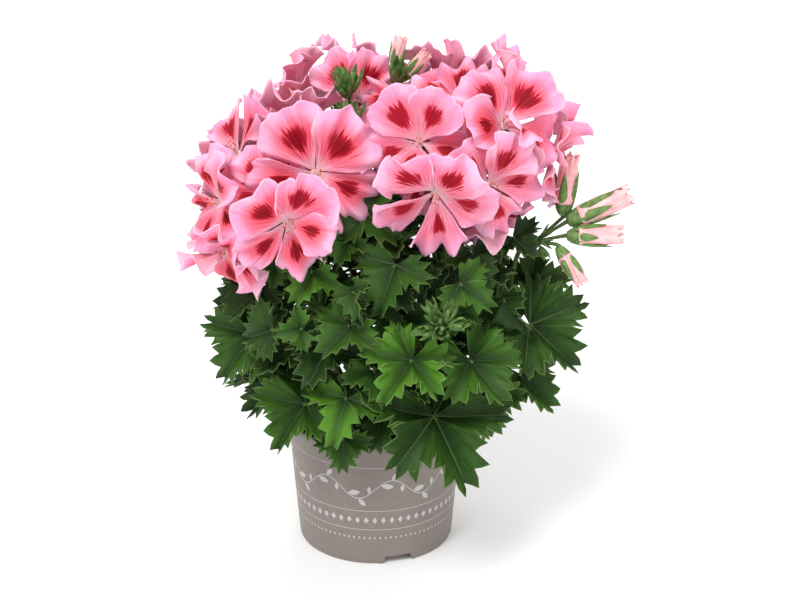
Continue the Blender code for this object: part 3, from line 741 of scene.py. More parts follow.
# Materials. Colours are linear, and every pattern follows the piece's own "skin" attribute or its Object
# coordinates.

class Signal:
    # one output of a node, with which sums are written as in plain code

    def __init__(self, tree, socket):
        self.tree = tree
        self.socket = socket

    def calc(self, operation, *values):
        return addNode(self.tree, "Math", dict(enumerate((self, *values))), operation=operation)

    def __add__(self, other):
        return self.calc("ADD", other)

    def __sub__(self, other):
        return self.calc("SUBTRACT", other)

    def __mul__(self, other):
        return self.calc("MULTIPLY", other)

    def __truediv__(self, other):
        return self.calc("DIVIDE", other)


def addNode(tree, kind, inputs=None, output=0, **settings):
    # a node with its settings and inputs, given back as the signal of one output
    made = tree.nodes.new("ShaderNode" + kind)
    for name, value in settings.items():
        setattr(made, name, value)
    for key, value in (inputs or {}).items():
        if isinstance(value, Signal):
            tree.links.new(value.socket, made.inputs[key])
        else:
            made.inputs[key].default_value = value
    return Signal(tree, made.outputs[output])


def blend(factor, first, second):
    tree = (factor if isinstance(factor, Signal) else first).tree
    inputs = {0: factor}
    for key, colour in ((6, first), (7, second)):
        inputs[key] = colour if isinstance(colour, Signal) else (*colour, 1)
    return addNode(tree, "Mix", inputs, 2, data_type="RGBA", clamp_factor=True)


def fade(value, low, high, start=0.0, end=1.0):
    # a soft step from start to end while the value goes from low to high
    inputs = {0: value, 1: low, 2: high, 3: start, 4: end}
    return addNode(value.tree, "MapRange", inputs, interpolation_type="SMOOTHSTEP")


def noiseOn(vector, scale, detail=3.0, rough=0.5):
    inputs = {"Vector": vector, "Scale": scale, "Detail": detail, "Roughness": rough}
    return addNode(vector.tree, "TexNoise", inputs, "Fac")


def newMaterial(name, roughness, specular=0.5):
    made = bpy.data.materials.new(name)
    made.use_nodes = True
    shader = made.node_tree.nodes["Principled BSDF"]
    shader.inputs["Roughness"].default_value = roughness
    shader.inputs["Specular IOR Level"].default_value = specular
    return made, made.node_tree, shader


def skinOf(tree):
    # the three values that each vertex carries
    skin = addNode(tree, "Attribute", None, "Vector", attribute_name="skin", attribute_type="GEOMETRY")
    return [Signal(tree, part) for part in addNode(tree, "SeparateXYZ", {0: skin}).socket.node.outputs]


def dress(shader, colour, height, strength, distance):
    # a finished colour and its grain go into the shader
    tree = colour.tree
    bump = addNode(tree, "Bump", {"Height": height, "Strength": strength, "Distance": distance})
    tree.links.new(colour.socket, shader.inputs["Base Color"])
    tree.links.new(bump.socket, shader.inputs["Normal"])


petalColours = {
    "pale": (0.96, 0.27, 0.41),
    "lilac": (0.94, 0.37, 0.61),
    "flush": (0.93, 0.092, 0.128),
    "blotch": (0.45, 0.002, 0.016),
    "core": (0.15, 0.001, 0.007),
    "vein": (0.30, 0.010, 0.060),
    "throat": (0.92, 0.62, 0.68),
    # the backs' own paler pink, made lighter still as a painted glow of light through the thin petals
    "back": (0.98, 0.57, 0.66),
    "rim": (0.96, 0.66, 0.76),
}

# Places on a petal run from 0 at the throat to 1 at the edge. The blotch's sizes are shares of the petal.
petalPaint = {
    "roughness": 0.65,
    "specular": 0.16,
    "glow": 0.20,
    "glowReach": (0.005, 0.002, 0.003),
    "streakiness": 13.0,
    "streakScale": 1.6,
    "cloudScale": 1.8,
    "lilac": (0.75, 1.35),
    "blotchAt": 0.50,
    "blotchWidth": 0.32,
    "blotchLength": 0.17,
    "feather": 4.4,
    "veins": 5.5,
    "grain": 0.4,
    "grainDepth": 0.0006,
    "backPalenessAndGlow": 0.70,
    "backBlotch": 0.40,
    "backVeins": 0.35,
}


def petalMaterial(name, isBack):
    colours, paint = petalColours, petalPaint
    made, tree, shader = newMaterial(name, paint["roughness"], paint["specular"])
    shader.inputs["Subsurface Weight"].default_value = paint["glow"]
    shader.inputs["Subsurface Radius"].default_value = paint["glowReach"]
    shader.inputs["Subsurface Scale"].default_value = 1
    across, along, kind = skinOf(tree)
    upper = kind.calc("GREATER_THAN", 1.5)
    tone = kind - upper * 2.0
    shift = kind * 37.0
    # streaks that run from the throat to the edge, and broader clouds
    streakAt = addNode(tree, "CombineXYZ", {0: across * paint["streakiness"], 1: along, 2: shift})
    streak = noiseOn(streakAt, paint["streakScale"], 3.0, 0.65)
    cloudAt = addNode(tree, "CombineXYZ", {0: across, 1: along, 2: shift})
    cloud = noiseOn(cloudAt, paint["cloudScale"], 2.0)
    ragged = streak - 0.5
    # the ground turns lilac towards the edge, and flushes coral round the blotch
    ground = blend(fade(along + cloud * 0.6, *paint["lilac"]), colours["pale"], colours["lilac"])
    ground = blend(fade(cloud, 0.35, 0.7) * 0.35, ground, colours["rim"])
    middle = along - paint["blotchAt"]
    far = middle * middle * 6.0 + across * across + ragged * 0.7
    warm = fade(far, 1.05, 0.1) * fade(tone, 0.0, 1.0, 0.40, 1.0)
    ground = blend(warm, ground, colours["flush"])
    ground = blend(fade(along, 0.32, 0.06) * 0.75, ground, colours["throat"])
    # the blotch is feathered at both ends, and larger on the upper petals
    widthwise = across / (upper * 0.08 + paint["blotchWidth"] + middle * 0.5)
    lengthwise = middle / (upper * 0.03 + paint["blotchLength"])
    spot = widthwise * widthwise + lengthwise * lengthwise + ragged * paint["feather"]
    blotch = fade(spot, 1.30, 0.80) * 0.96
    core = fade(spot, 1.0, 0.15) * fade(tone, 0.0, 0.7, 0.45, 1.0) * 0.85
    # fine veins part from the throat
    wander = (cloud - 0.5) * 0.35
    thin = fade(((across + wander) * paint["veins"]).calc("PINGPONG", 0.5), 0.13, 0.03)
    veins = thin * (fade(along, 0.60, 0.34) * fade(along, 0.05, 0.14)) * 0.8
    if isBack:
        # the backs are paler than the faces, and are painted lighter still as a painted glow of light through
        # the petal
        ground = blend(paint["backPalenessAndGlow"], ground, colours["back"])
        blotch = blotch * paint["backBlotch"]
        veins = veins * paint["backVeins"]
    ground = blend(thin * 0.10, ground, colours["flush"])
    ground = blend(veins, ground, colours["vein"])
    colour = blend(blotch, ground, colours["blotch"])
    if not isBack:
        colour = blend(core, colour, colours["core"])
    border = along.calc("MAXIMUM", across.calc("ABSOLUTE") * 0.985)
    colour = blend(fade(border, 0.965, 1.0, 0.0, 0.3), colour, colours["rim"])
    dress(shader, colour, streak + thin * -0.5, paint["grain"], paint["grainDepth"])
    return made


leafColours = {
    "old": (0.013, 0.037, 0.009),
    "young": (0.085, 0.230, 0.020),
    "shade": (0.005, 0.016, 0.006),
    "vein": (0.13, 0.20, 0.045),
    "margin": (0.17, 0.27, 0.065),
    "under": (0.085, 0.130, 0.060),
}

leafPaint = {
    "roughness": 0.48,
    "backRoughness": 0.75,
    "specular": 0.20,
    "mottleScale": 110.0,
    "cloudScale": 26.0,
    "netScale": 560.0,
    "veinWidth": 0.019,
    "veinTaper": -0.013,
    "grain": 0.5,
    "grainDepth": 0.0006,
    "underside": 0.75,
}


def leafMaterial(name, isBack):
    colours, paint = leafColours, leafPaint
    roughness = paint["backRoughness"] if isBack else paint["roughness"]
    made, tree, shader = newMaterial(name, roughness, paint["specular"])
    lateral, share, tone = skinOf(tree)
    place = addNode(tree, "TexCoord", None, "Object")
    mottle = noiseOn(place, paint["mottleScale"], 4.0, 0.6)
    broad = noiseOn(place, paint["cloudScale"], 2.0)
    # the leaf's age sets its green, and painted light and shade make the lobes brighter than the blade's
    # middle, which lies shaded in its funnel
    ground = blend(tone * fade(share, 0.15, 0.85, 0.35, 1.15), colours["old"], colours["young"])
    ground = blend(fade(mottle, 0.40, 0.75, 0.0, 0.18), ground, colours["young"])
    ground = blend(fade(broad, 0.45, 0.7, 0.0, 0.35), ground, colours["old"])
    # the main veins taper along the lobes, and side veins leave them at a slant
    main = fade(lateral / (share * paint["veinTaper"] + paint["veinWidth"]), 1.0, 0.25)
    slant = share * leafLook["sideVeins"] - lateral * leafLook["veinSlant"] + broad * 1.5
    side = fade(slant.calc("PINGPONG", 0.5), 0.075, 0.02) * fade(lateral, 0.30, 0.03)
    cells = {"Vector": place, "Scale": paint["netScale"]}
    net = fade(addNode(tree, "TexVoronoi", cells, "Distance", feature="DISTANCE_TO_EDGE"), 0.10, 0.02)
    groove = main.calc("MAXIMUM", side * 0.7).calc("MAXIMUM", net * 0.15)
    # painted shade: the panels darken towards their veins, in the folds' creases, and towards the blade's
    # middle, where the cupped blade lies in shade
    deep = (fade(lateral, 0.16, 0.0) * 0.5).calc("MAXIMUM", fade(share, 0.55, 0.05, 0.0, 0.7))
    ground = blend(deep, ground, colours["shade"])
    if isBack:
        ground = blend(paint["underside"], ground, colours["under"])
    pale = (main * fade(tone, 0.1, 0.5, 0.5, 0.15)).calc("MAXIMUM", side * 0.10)
    colour = blend(pale, ground, colours["vein"])
    colour = blend(fade(share, 0.98, 1.0, 0.0, 0.55), colour, colours["margin"])
    grain = mottle * 0.6
    height = grain + groove if isBack else grain - groove
    dress(shader, colour, height, paint["grain"], paint["grainDepth"])
    return made


def plainMaterial(name, first, second, roughness, scale, grain, depth=0.0004, specular=0.5):
    # two colours mixed by a noise, with a grain to match
    made, tree, shader = newMaterial(name, roughness, specular)
    mottle = noiseOn(addNode(tree, "TexCoord", None, "Object"), scale, 5.0, 0.6)
    dress(shader, blend(fade(mottle, 0.32, 0.7), first, second), mottle, grain, depth)
    return made


matt = 0.25  # the specular level of stalks and sepals


def makeMaterials():
    petalFace, petalBack = petalMaterial("petal_face", False), petalMaterial("petal_back", True)
    leafFace, leafBack = leafMaterial("leaf_face", False), leafMaterial("leaf_back", True)
    stalk = plainMaterial("stalk_skin", (0.055, 0.115, 0.024), (0.10, 0.18, 0.04), 0.6, 160, 0.3, 0.0004, matt)
    sepal = plainMaterial("sepal_face", (0.085, 0.175, 0.040), (0.190, 0.320, 0.100), 0.65, 300, 0.35, 0.0004,
                          matt)
    earth = plainMaterial("soil_earth", (0.008, 0.005, 0.0035), (0.045, 0.028, 0.017), 0.95, 420, 0.9, 0.001)
    return {
        "petals": [petalFace, petalBack],
        "leaf": [leafFace, leafBack],
        "stalk": [stalk],
        "sepal": [sepal, sepal],
        "heart": [
            plainMaterial("throat_skin", (0.80, 0.55, 0.55), (0.85, 0.66, 0.68), 0.6, 400, 0.1),
            plainMaterial("filament_skin", (0.85, 0.42, 0.45), (0.92, 0.66, 0.70), 0.5, 500, 0.1),
            plainMaterial("anther_skin", (0.55, 0.07, 0.02), (0.75, 0.16, 0.04), 0.75, 900, 0.4),
        ],
        "budPetal": [plainMaterial("bud_petal", (0.86, 0.38, 0.42), (0.92, 0.60, 0.58), 0.6, 140, 0.35)],
        "pot": [plainMaterial("pot_plastic", (0.215, 0.178, 0.160), (0.235, 0.196, 0.178), 0.5, 240, 0.08)],
        "ink": [plainMaterial("print_ink", (0.50, 0.47, 0.45), (0.56, 0.53, 0.51), 0.5, 700, 0.05)],
        "soil": [earth],
        "wood": [plainMaterial("crown_bark", (0.07, 0.05, 0.022), (0.20, 0.17, 0.08), 0.8, 130, 0.6)],
    }


# Pieces. Each starts from a created grid or sphere, or is spun from a profile.

def newShape():
    shape = bmesh.new()
    shape.verts.layers.float_vector.new("skin")
    return shape


def finishPiece(name, shape, materials, nodeNames, thickness=0.0):
    mesh = bpy.data.meshes.new(name)
    shape.to_mesh(mesh)
    shape.free()
    for face in mesh.polygons:
        face.use_smooth = True
    for made in materials:
        mesh.materials.append(made)
    piece = bpy.data.objects.new(name, mesh)
    bpy.context.scene.collection.objects.link(piece)
    if thickness:
        solid = piece.modifiers.new("thickness", "SOLIDIFY")
        solid.thickness = thickness
        solid.offset = -1
        solid.material_offset = len(materials) - 1
        solid.use_rim = True
    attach(piece, "root")
    if nodeNames:
        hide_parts(*nodeNames)
    return piece


def smoothPath(points, steps):
    # a soft curve through the points
    ends = [points[0] * 2 - points[1]] + list(points) + [points[-1] * 2 - points[-2]]
    path = []
    for i in range(len(points) - 1):
        a, b, c, d = ends[i:i + 4]
        for k in range(steps):
            t = k / steps
            bend, twist = a * 2 - b * 5 + c * 4 - d, b * 3 - a - c * 3 + d
            path.append(0.5 * (b * 2 + (c - a) * t + bend * t * t + twist * t**3))
    return path + [points[-1].copy()]


def growGrid(shape, across, along, place, slot, closed=False):
    # place(x, y) gives the point and the skin for x from -1 to 1 and y from 0 to 1
    skin = shape.verts.layers.float_vector["skin"]
    made = bmesh.ops.create_grid(shape, x_segments=across, y_segments=along, size=1)["verts"]
    for face in {face for vert in made for face in vert.link_faces}:
        face.material_index = slot
    for vert in made:
        vert.co, vert[skin] = place(vert.co.x, (vert.co.y + 1) / 2)
    if closed:
        border = [vert for vert in made if vert.is_boundary]
        bmesh.ops.remove_doubles(shape, verts=border, dist=mergeGap)
        border = [vert for vert in border if vert.is_valid and vert.is_boundary]
        edges = list({edge for vert in border for edge in vert.link_edges if edge.is_boundary})
        for face in bmesh.ops.holes_fill(shape, edges=edges, sides=0)["faces"]:
            face.material_index = slot
    return made


def mergeBorder(shape, made):
    bmesh.ops.remove_doubles(shape, verts=[vert for vert in made if vert.is_boundary], dist=mergeGap)


def growTube(shape, path, radiusAt, sides, slot, tone, startAim=None, endAim=None):
    frames = ringFrames(path, startAim, endAim)
    steps = len(path) - 1

    def place(x, y):
        return frames[round(y * steps)] @ around(radiusAt(y), math.pi * (x + 1), 0), Vector((x, y, tone))

    growGrid(shape, sides, steps, place, slot, closed=True)


def growCup(shape, frame, profile, sides, tone, ridge=0.0, size=1.0):
    # a closed body from heights and radii along the frame's axis, with five soft ridges
    steps = len(profile) - 1

    def place(x, y):
        lift, radius = profile[round(y * steps)]
        turn = math.pi * (x + 1)
        radius *= size * (1 + ridge * math.cos(5 * turn))
        return frame @ around(radius, turn, lift * size), Vector((x, y, tone))

    growGrid(shape, sides, steps, place, 0, closed=True)


# Blooms: five ruffled petals, a throat, and stamens with orange-red tips.

petalLook = {
    "grid": (28, 20),
    "deepGrid": (16, 12),
    "thickness": 0.00045,
    "throat": 0.03,
    "broader": 0.16,
    "roundSide": 0.16,
    "roundTip": 0.10,
    "sway": 0.035,
    "wave": 0.125,
    "frill": 0.052,
    "sideWave": 0.07,
    "twist": 0.075,
    "notch": 0.028,
    "crease": 0.050,
    "creaseWidth": 0.13,
    "pucker": 0.013,
    "tries": 10,
    "testNet": 9,
}

grown = []  # the fine petals so far, each with its box


def frillOf(draw):
    return {
        "wave": draw.uniform(0.5, 1.6),
        "waves": draw.uniform(1.7, 3.8),
        "phase": draw.uniform(0, 6.28),
        "second": draw.uniform(0, 6.28),
        "third": draw.uniform(0, 6.28),
        "recurve": draw.uniform(-0.16, 0.26),
        "crease": draw.uniform(-0.2, 0.2),
        "roll": draw.uniform(-0.16, 0.26),
        "narrow": draw.uniform(-0.06, 0.08),
    }


def finePetal(along, across, petal, frill):
    # the planned petal, broadened, with round corners, and with waves that grow finer towards its edge
    look = petalLook
    point = petalPoint(along, across, petal)
    length = petal["length"]
    second, third = frill["second"], frill["third"]
    point.x *= 1 + (look["broader"] - frill["narrow"]) * (0.4 + math.sin(math.pi * min(along * 1.1, 1)))
    point.x += length * look["sway"] * along**3 * math.sin(5 * across + second)
    corner = along**5 * abs(across) ** 5
    point.x *= 1 - look["roundSide"] * corner
    point.y *= 1 - look["roundTip"] * corner
    wave = math.sin(frill["waves"] * math.pi * across + frill["phase"])
    lift = look["wave"] * frill["wave"] * along**2.2 * wave * (1 - 0.6 * corner)
    lift += look["frill"] * along**4 * math.sin(10 * across + second)
    lift += look["frill"] * 0.5 * along**7 * math.sin(21 * across + third)
    side = along * (1 - along**5) * abs(across) ** 4
    lift += look["sideWave"] * side * math.sin(7 * along + third + across)
    lift += frill["roll"] * along**2 * across**2 - frill["recurve"] * along**4
    lift += look["twist"] * across * min(along * 2, 1)
    lift += look["pucker"] * along**3 * math.sin(31 * across + frill["phase"]) * math.sin(9 * along + second)
    fold = math.exp(-(((across - frill["crease"]) / look["creaseWidth"]) ** 2))
    lift -= look["crease"] * along * (1 - along**3) * fold
    notch = math.sin(8 * across + second) + 0.5 * math.sin(21 * across + frill["phase"])
    point.y += length * look["notch"] * notch * along**8
    point.z += length * lift
    return point


def chooseFrill(part, name):
    # of a few frills, the one that cuts least through the petals that are already there
    best = None
    net = petalLook["testNet"]
    corners = [net * i + k for i in range(net - 1) for k in range(net - 1)]
    faces = [(c, c + 1, c + net + 1, c + net) for c in corners]
    for attempt in range(petalLook["tries"]):
        frill = frillOf(random.Random(f"frill {name} {part['index']} {attempt}"))
        points = [part["frame"] @ finePetal((i + 1) / net, 2 * k / (net - 1) - 1, part["petal"], frill)
                  for i in range(net) for k in range(net)]
        tree, low, high = BVHTree.FromPolygons(points, faces), *boxOf(points)
        count = 0
        for other, otherLow, otherHigh in grown:
            if all(low[n] < otherHigh[n] and otherLow[n] < high[n] for n in range(3)):
                count += len(tree.overlap(other))
        if best is None or count < best[0]:
            best = (count, frill, (tree, low, high))
        if count == 0:
            break
    grown.append(best[2])
    return best[1]


def growBloom(bloom, materials, nodeNames):
    look = petalLook
    shape = newShape()
    tone = random.Random("tone " + bloom["name"]).uniform(0.1, 0.95)
    columns, rows = look["grid"] if nodeNames else look["deepGrid"]
    for part in bloom["petals"]:
        draw = random.Random("tint " + bloom["name"] + str(part["index"]))
        frill = chooseFrill(part, bloom["name"])
        kind = min(max(tone + draw.uniform(-0.2, 0.2), 0), 1) + (2 if part["index"] < 2 else 0)

        def place(x, y, part=part, frill=frill, kind=kind):
            along = look["throat"] + (1 - look["throat"]) * y
            return part["frame"] @ finePetal(along, x, part["petal"], frill), Vector((x, along, kind))

        growGrid(shape, columns, rows, place, 0)
    finishPiece(bloom["name"] + "_petals", shape, materials["petals"], nodeNames, look["thickness"])


heartLook = {
    "throat": ((-0.0027, 0.0012), (-0.0016, 0.0024), (0.0, 0.0028), (0.0012, 0.0021), (0.0018, 0.0004)),
    "stamens": 7,
    "length": 0.0085,
    "foot": 0.0006,
    "spread": (0.0022, 0.0042),
    "filament": 0.00028,
    "anther": 0.0009,
    "antherForm": (0.62, 0.62, 1.25),
}


def growHeart(bloom, materials):
    look = heartLook
    shape = newShape()
    frame = bloom["frame"]
    draw = random.Random("heart " + bloom["name"])
    growCup(shape, frame, look["throat"], 14, 0)
    for k in range(look["stamens"]):
        out = around(1, 6.28 * k / look["stamens"] + draw.uniform(-0.3, 0.3), 0)
        spread, tall = draw.uniform(*look["spread"]), look["length"] * draw.uniform(0.75, 1.1)
        end = out * spread + Vector((0, 0, tall))
        path = smoothPath([frame @ p for p in (out * look["foot"], end * 0.5, end)], 3)
        growTube(shape, path, lambda y: look["filament"] * (1.2 - 0.5 * y), 6, 1, 0)
        tip = bmesh.ops.create_icosphere(shape, subdivisions=1, radius=look["anther"])["verts"]
        tilted = frame.to_3x3() @ Matrix.Rotation(draw.uniform(-1, 1), 3, "X")
        tilted = tilted @ Matrix.Diagonal(look["antherForm"])
        for vert in tip:
            vert.co = tilted @ vert.co + path[-1]
            for face in vert.link_faces:
                face.material_index = 2
    finishPiece(bloom["name"] + "_heart", shape, materials["heart"], [])


# Stalks and calyces of the flower heads, and the buds.

sepalThickness = 0.0005


def growSepal(shape, frame, line, width, turn, tone, hollow):
    # a pointed blade along a line of radius and height, turned round the frame's axis
    marks = smoothPath([Vector((r, 0, z)) for r, z in line], 3)
    steps = len(marks) - 1
    spin = Matrix.Rotation(turn, 3, "Z")

    def place(x, y):
        centre = marks[round(y * steps)]
        wide = width * (1 - y) ** 0.75 * (0.45 + 1.6 * y) * 0.78
        local = Vector((centre.x - hollow * wide * x * x, x * wide, centre.z))
        return frame @ (spin @ local), Vector((x, y, tone))

    growGrid(shape, 4, steps, place, 0)


def growSepals(shape, frame, draw, nextLine, width, sway, tones, hollow):
    # five sepals in a ring, each along a line of its own
    for k in range(5):
        line = nextLine()
        turn = circleTurn * k / 5 + (draw.uniform(-sway, sway) if sway else 0)
        growSepal(shape, frame, line, width, turn, draw.uniform(*tones), hollow)


def finishStalks(name, nodeName, stalks, sepals, materials):
    finishPiece(name + "_stalks", stalks, materials["stalk"], [nodeName])
    finishPiece(name + "_sepals", sepals, materials["sepal"], [], sepalThickness)


calyxLook = {
    "cup": ((-0.0098, 0.0009), (-0.0088, 0.0017), (-0.0068, 0.0026), (-0.0048, 0.0030), (-0.0034, 0.0027)),
    "ridge": 0.06,
    "sepal": ((0.0024, -0.0072), (0.0038, -0.0050), (0.0064, -0.0040)),
    "sepalTip": (0.0098, -0.0038),
    "width": 0.0024,
}


def growTruss(name, head, materials):
    look = calyxLook
    stalks, sepals = newShape(), newShape()
    tipRadius, tipLift = look["sepalTip"]
    path = smoothPath(head["path"], 6)
    growTube(stalks, path, lambda y: stemRadius["high"] * (1.0 - 0.08 * y), 12, 0, 0.3, head["aim"])
    for stalk, bloom in zip(head["stalks"], head["blooms"]):
        draw = random.Random("stalk " + bloom["name"])
        growTube(stalks, smoothPath(stalk, 6), lambda y: pedicelRadius * (0.82 + 0.25 * y * y), 8, 0, 0.5)
        growCup(stalks, bloom["frame"], look["cup"], 20, 0.4, look["ridge"])

        def nextLine(draw=draw):
            return (*look["sepal"], (tipRadius, tipLift - draw.uniform(0, 0.002)))

        growSepals(sepals, bloom["frame"], draw, nextLine, look["width"], 0, (0.3, 0.8), 0.3)
    finishStalks("truss_" + name, "truss_" + name, stalks, sepals, materials)


# Sizes of a green bud are shares of its length, and those of a pink one shares of its radius.
budLook = {
    "body": ((0, 0.05), (0.12, 0.12), (0.35, 0.17), (0.6, 0.14), (0.8, 0.07), (0.9, 0.01)),
    "ridge": 0.05,
    "stalk": 0.0008,
    "flareOut": 0.0002,
    "sepal": ((0.07, 0.02), (0.20, 0.2), (0.27, 0.5)),
    "sepalWidth": 0.25,
    "flare": (0.16, 0.44),
    "cup": ((0.45, -0.0045), (0.90, 0.0)),
    "cupWidth": 0.92,
    "outline": ((0.55, 0), (0.92, 0.25), (1.0, 0.6), (0.84, 0.86), (0.40, 0.99), (0.05, 0.97)),
    "wraps": 3,
    "wrapThickness": 0.0004,
}


def budFrame(foot, tip):
    axis = (tip - foot).normalized()
    return frameOf(foot, axis.orthogonal(), axis)


def growSpray(name, spray, materials):
    look = budLook
    stalks, sepals = newShape(), newShape()
    for route in spray["stalks"]:
        path = smoothPath(route, 5)
        growTube(stalks, path, lambda y: sprayRadius * (1 - 0.12 * y), 10, 0, 0.3, spray["aim"])
    for number, (node, foot, tip) in enumerate(spray["greens"]):
        draw = random.Random(f"bud {name} {number}")
        size, frame = (tip - foot).length, budFrame(foot, tip)
        path = smoothPath([node, node.lerp(foot, 0.5), foot], 3)
        growTube(stalks, path, lambda y: look["stalk"] + look["flareOut"] * y, 8, 0, 0.5)
        growCup(stalks, frame, look["body"], 15, 0.5, look["ridge"], size)

        def greenLine(draw=draw, size=size):
            flare = draw.uniform(*look["flare"])
            line = (*look["sepal"], (0.22 + flare * 0.4, 0.8), (flare, 1.05 + draw.uniform(-0.1, 0.15)))
            return [(r * size, z * size) for r, z in line]

        growSepals(sepals, frame, draw, greenLine, size * look["sepalWidth"], 0.15, (0.35, 0.9), 0.5)
    for bud in spray["pinks"]:
        draw = random.Random("cup " + bud["name"])
        foot, tip, wide = bud["foot"], bud["tip"], bud["radius"]
        growTube(stalks, smoothPath(bud["cup"], 5), lambda y: 0.001 + wide * 0.62 * y**2.2, 12, 0, 0.5)

        def pinkLine(draw=draw, long=(tip - foot).length, wide=wide):
            reach = long * draw.uniform(0.55, 0.88)
            cup = [(wide * r, z) for r, z in look["cup"]]
            return [*cup, (wide * 1.24, reach * 0.45), (wide * 1.30, reach)]

        width = wide * look["cupWidth"]
        growSepals(sepals, budFrame(foot, tip), draw, pinkLine, width, 0.15, (0.3, 0.7), 0.45)
    finishStalks("buds_" + name, "buds_" + name, stalks, sepals, materials)


def growPinkBud(bud, materials):
    look = budLook
    bodyShape, wraps = newShape(), newShape()
    frame = budFrame(bud["foot"], bud["tip"])
    long, wide = (bud["tip"] - bud["foot"]).length, bud["radius"]
    phase = random.Random("rolled " + bud["name"]).uniform(0, 6.28)
    outline = smoothPath([Vector((radius, 0, height)) for radius, height in look["outline"]], 5)
    steps = len(outline) - 1

    def place(x, y):
        mark = outline[round(y * steps)]
        turn = math.pi * (x + 1)
        fold = 0.13 * math.sin(3 * turn + 5 * y + phase) + 0.07 * math.sin(8 * turn - 7 * y) * y
        radius = wide * mark.x * (1 + fold * (0.3 + y))
        lift = long * (mark.z + 0.03 * math.sin(4 * turn + phase) * y**6)
        return frame @ around(radius, turn, lift), Vector((math.sin(turn), y, 0.3))

    growGrid(bodyShape, 48, steps, place, 0, closed=True)
    finishPiece(bud["name"] + "_petals", bodyShape, materials["budPetal"], [bud["name"]])
    # crumpled petals roll round it, each over the edge of the next
    for k in range(look["wraps"]):

        def placeWrap(x, y, start=phase + 2.1 * k):
            turn = start + 1.3 * x + 0.6 * y
            ripple = 0.20 * math.sin(4 * turn + start) + 0.11 * math.sin(11 * turn + 3 * y)
            radius = wide * (1.06 + 0.08 * x - 0.42 * max(y - 0.5, 0)) * (1 + ripple * y**3)
            lift = long * (0.12 + 0.90 * y + 0.06 * y**6 * math.sin(9 * x + start))
            return frame @ around(radius, turn, lift), Vector((x, y, 0.3))

        growGrid(wraps, 26, 16, placeWrap, 0)
    finishPiece(bud["name"] + "_wraps", wraps, materials["budPetal"], [], look["wrapThickness"])


# Foliage: each shoot with its leaf stalks and toothed, lobed blades.

leafLook = {
    "size": 0.86,
    "teeth": 6,
    "grid": (4, 10),
    "smallGrid": (2, 6),
    "thickness": 0.0006,
    "tooth": 0.155,
    "lean": 0.35,
    "deepen": (0.04, 0.24),
    "pleat": 0.19,
    "sway": 0.38,
    "quilt": 0.010,
    "groove": 0.014,
    "grooveWidth": 0.03,
    "sideVeins": 7,
    "veinSlant": 12,
    "curl": 0.034,
}

# how young, and so how bright, some leaves are
leafTones = {
    0: 0.20, 1: 0.20, 2: 0.30, 3: 0.85, 4: 0.9, 5: 0.45, 10: 0.35, 11: 0.3,
    13: 0.3, 14: 0.7, 20: 0.5, 21: 0.8, 26: 0.4,
}


def smoothRim(angle, leaf):
    # the planned blade's edge without its coarse teeth, and with deeper lobes
    step = (angle + leaf["spread"]) / (leaf["lobeAngle"] / 4) + 1
    plain = leafRim(angle, leaf) / (1 + leaf["tooth"] * (1 - 2 * abs(step % 2 - 1)))
    lobe = (angle / leaf["lobeAngle"] + 0.5) % 1 - 0.5
    old, young = leafLook["deepen"]
    deep = old + (young - old) * leaf["tone"]
    return leafLook["size"] * plain * (1 - deep * abs(lobe * 2) ** 2.2)


def fineLeaf(share, angle, leaf):
    # lobes that sway apart, sharp teeth square to the edge, grooves over the veins and quilted panels
    look = leafLook
    length = leaf["length"]
    point = leafPoint(share, angle, leaf)
    place = angle / leaf["lobeAngle"] + 0.5
    lobe = place % 1 - 0.5
    reach = smoothRim(angle, leaf)
    slope = (smoothRim(angle + 0.01, leaf) - smoothRim(angle - 0.01, leaf)) / 0.02
    outwards = Vector((math.sin(angle), math.cos(angle)))
    along = (outwards * slope + Vector((outwards.y, -outwards.x)) * reach).normalized()
    across = Vector((-along.y, along.x))
    tooth = 1 - 2 * abs((lobe + 0.5) * look["teeth"] % 1 - 0.5) - 0.4
    tooth *= length * look["tooth"] * (1 + 0.7 * noise.noise(Vector((angle * 6, leaf["phase"], 0.3))))
    outer = max((share - 0.5) / 0.5, 0) ** 1.8
    flat = outwards * reach * share + (across - along * math.copysign(look["lean"], lobe)) * tooth * outer
    point.x, point.y = flat
    lateral = abs(lobe) * leaf["lobeAngle"] * reach * share / length
    panel = math.cos(circleTurn * (share * look["sideVeins"] - lateral * look["veinSlant"]))
    own = noise.noise(Vector((math.floor(place) * 3.7, leaf["phase"], 0)))
    lift = look["pleat"] * share * (1.8 * abs(lobe) - 0.5 + 0.04 * math.cos(4 * math.pi * lobe))
    lift += look["sway"] * own * share**2 * math.cos(math.pi * lobe) ** 2
    lift -= look["quilt"] * panel * min(lateral * look["veinSlant"], 1) * min(share * 2, 1) * 0.5
    lift -= look["groove"] * math.exp(-((lateral / look["grooveWidth"]) ** 2)) * share
    lift += look["curl"] * share**4 * math.sin(11 * angle + leaf["phase"])
    lift += look["curl"] * 0.5 * share**6 * math.sin(27 * angle + leaf["phase"] * 3)
    point.z += length * lift
    return point, lateral


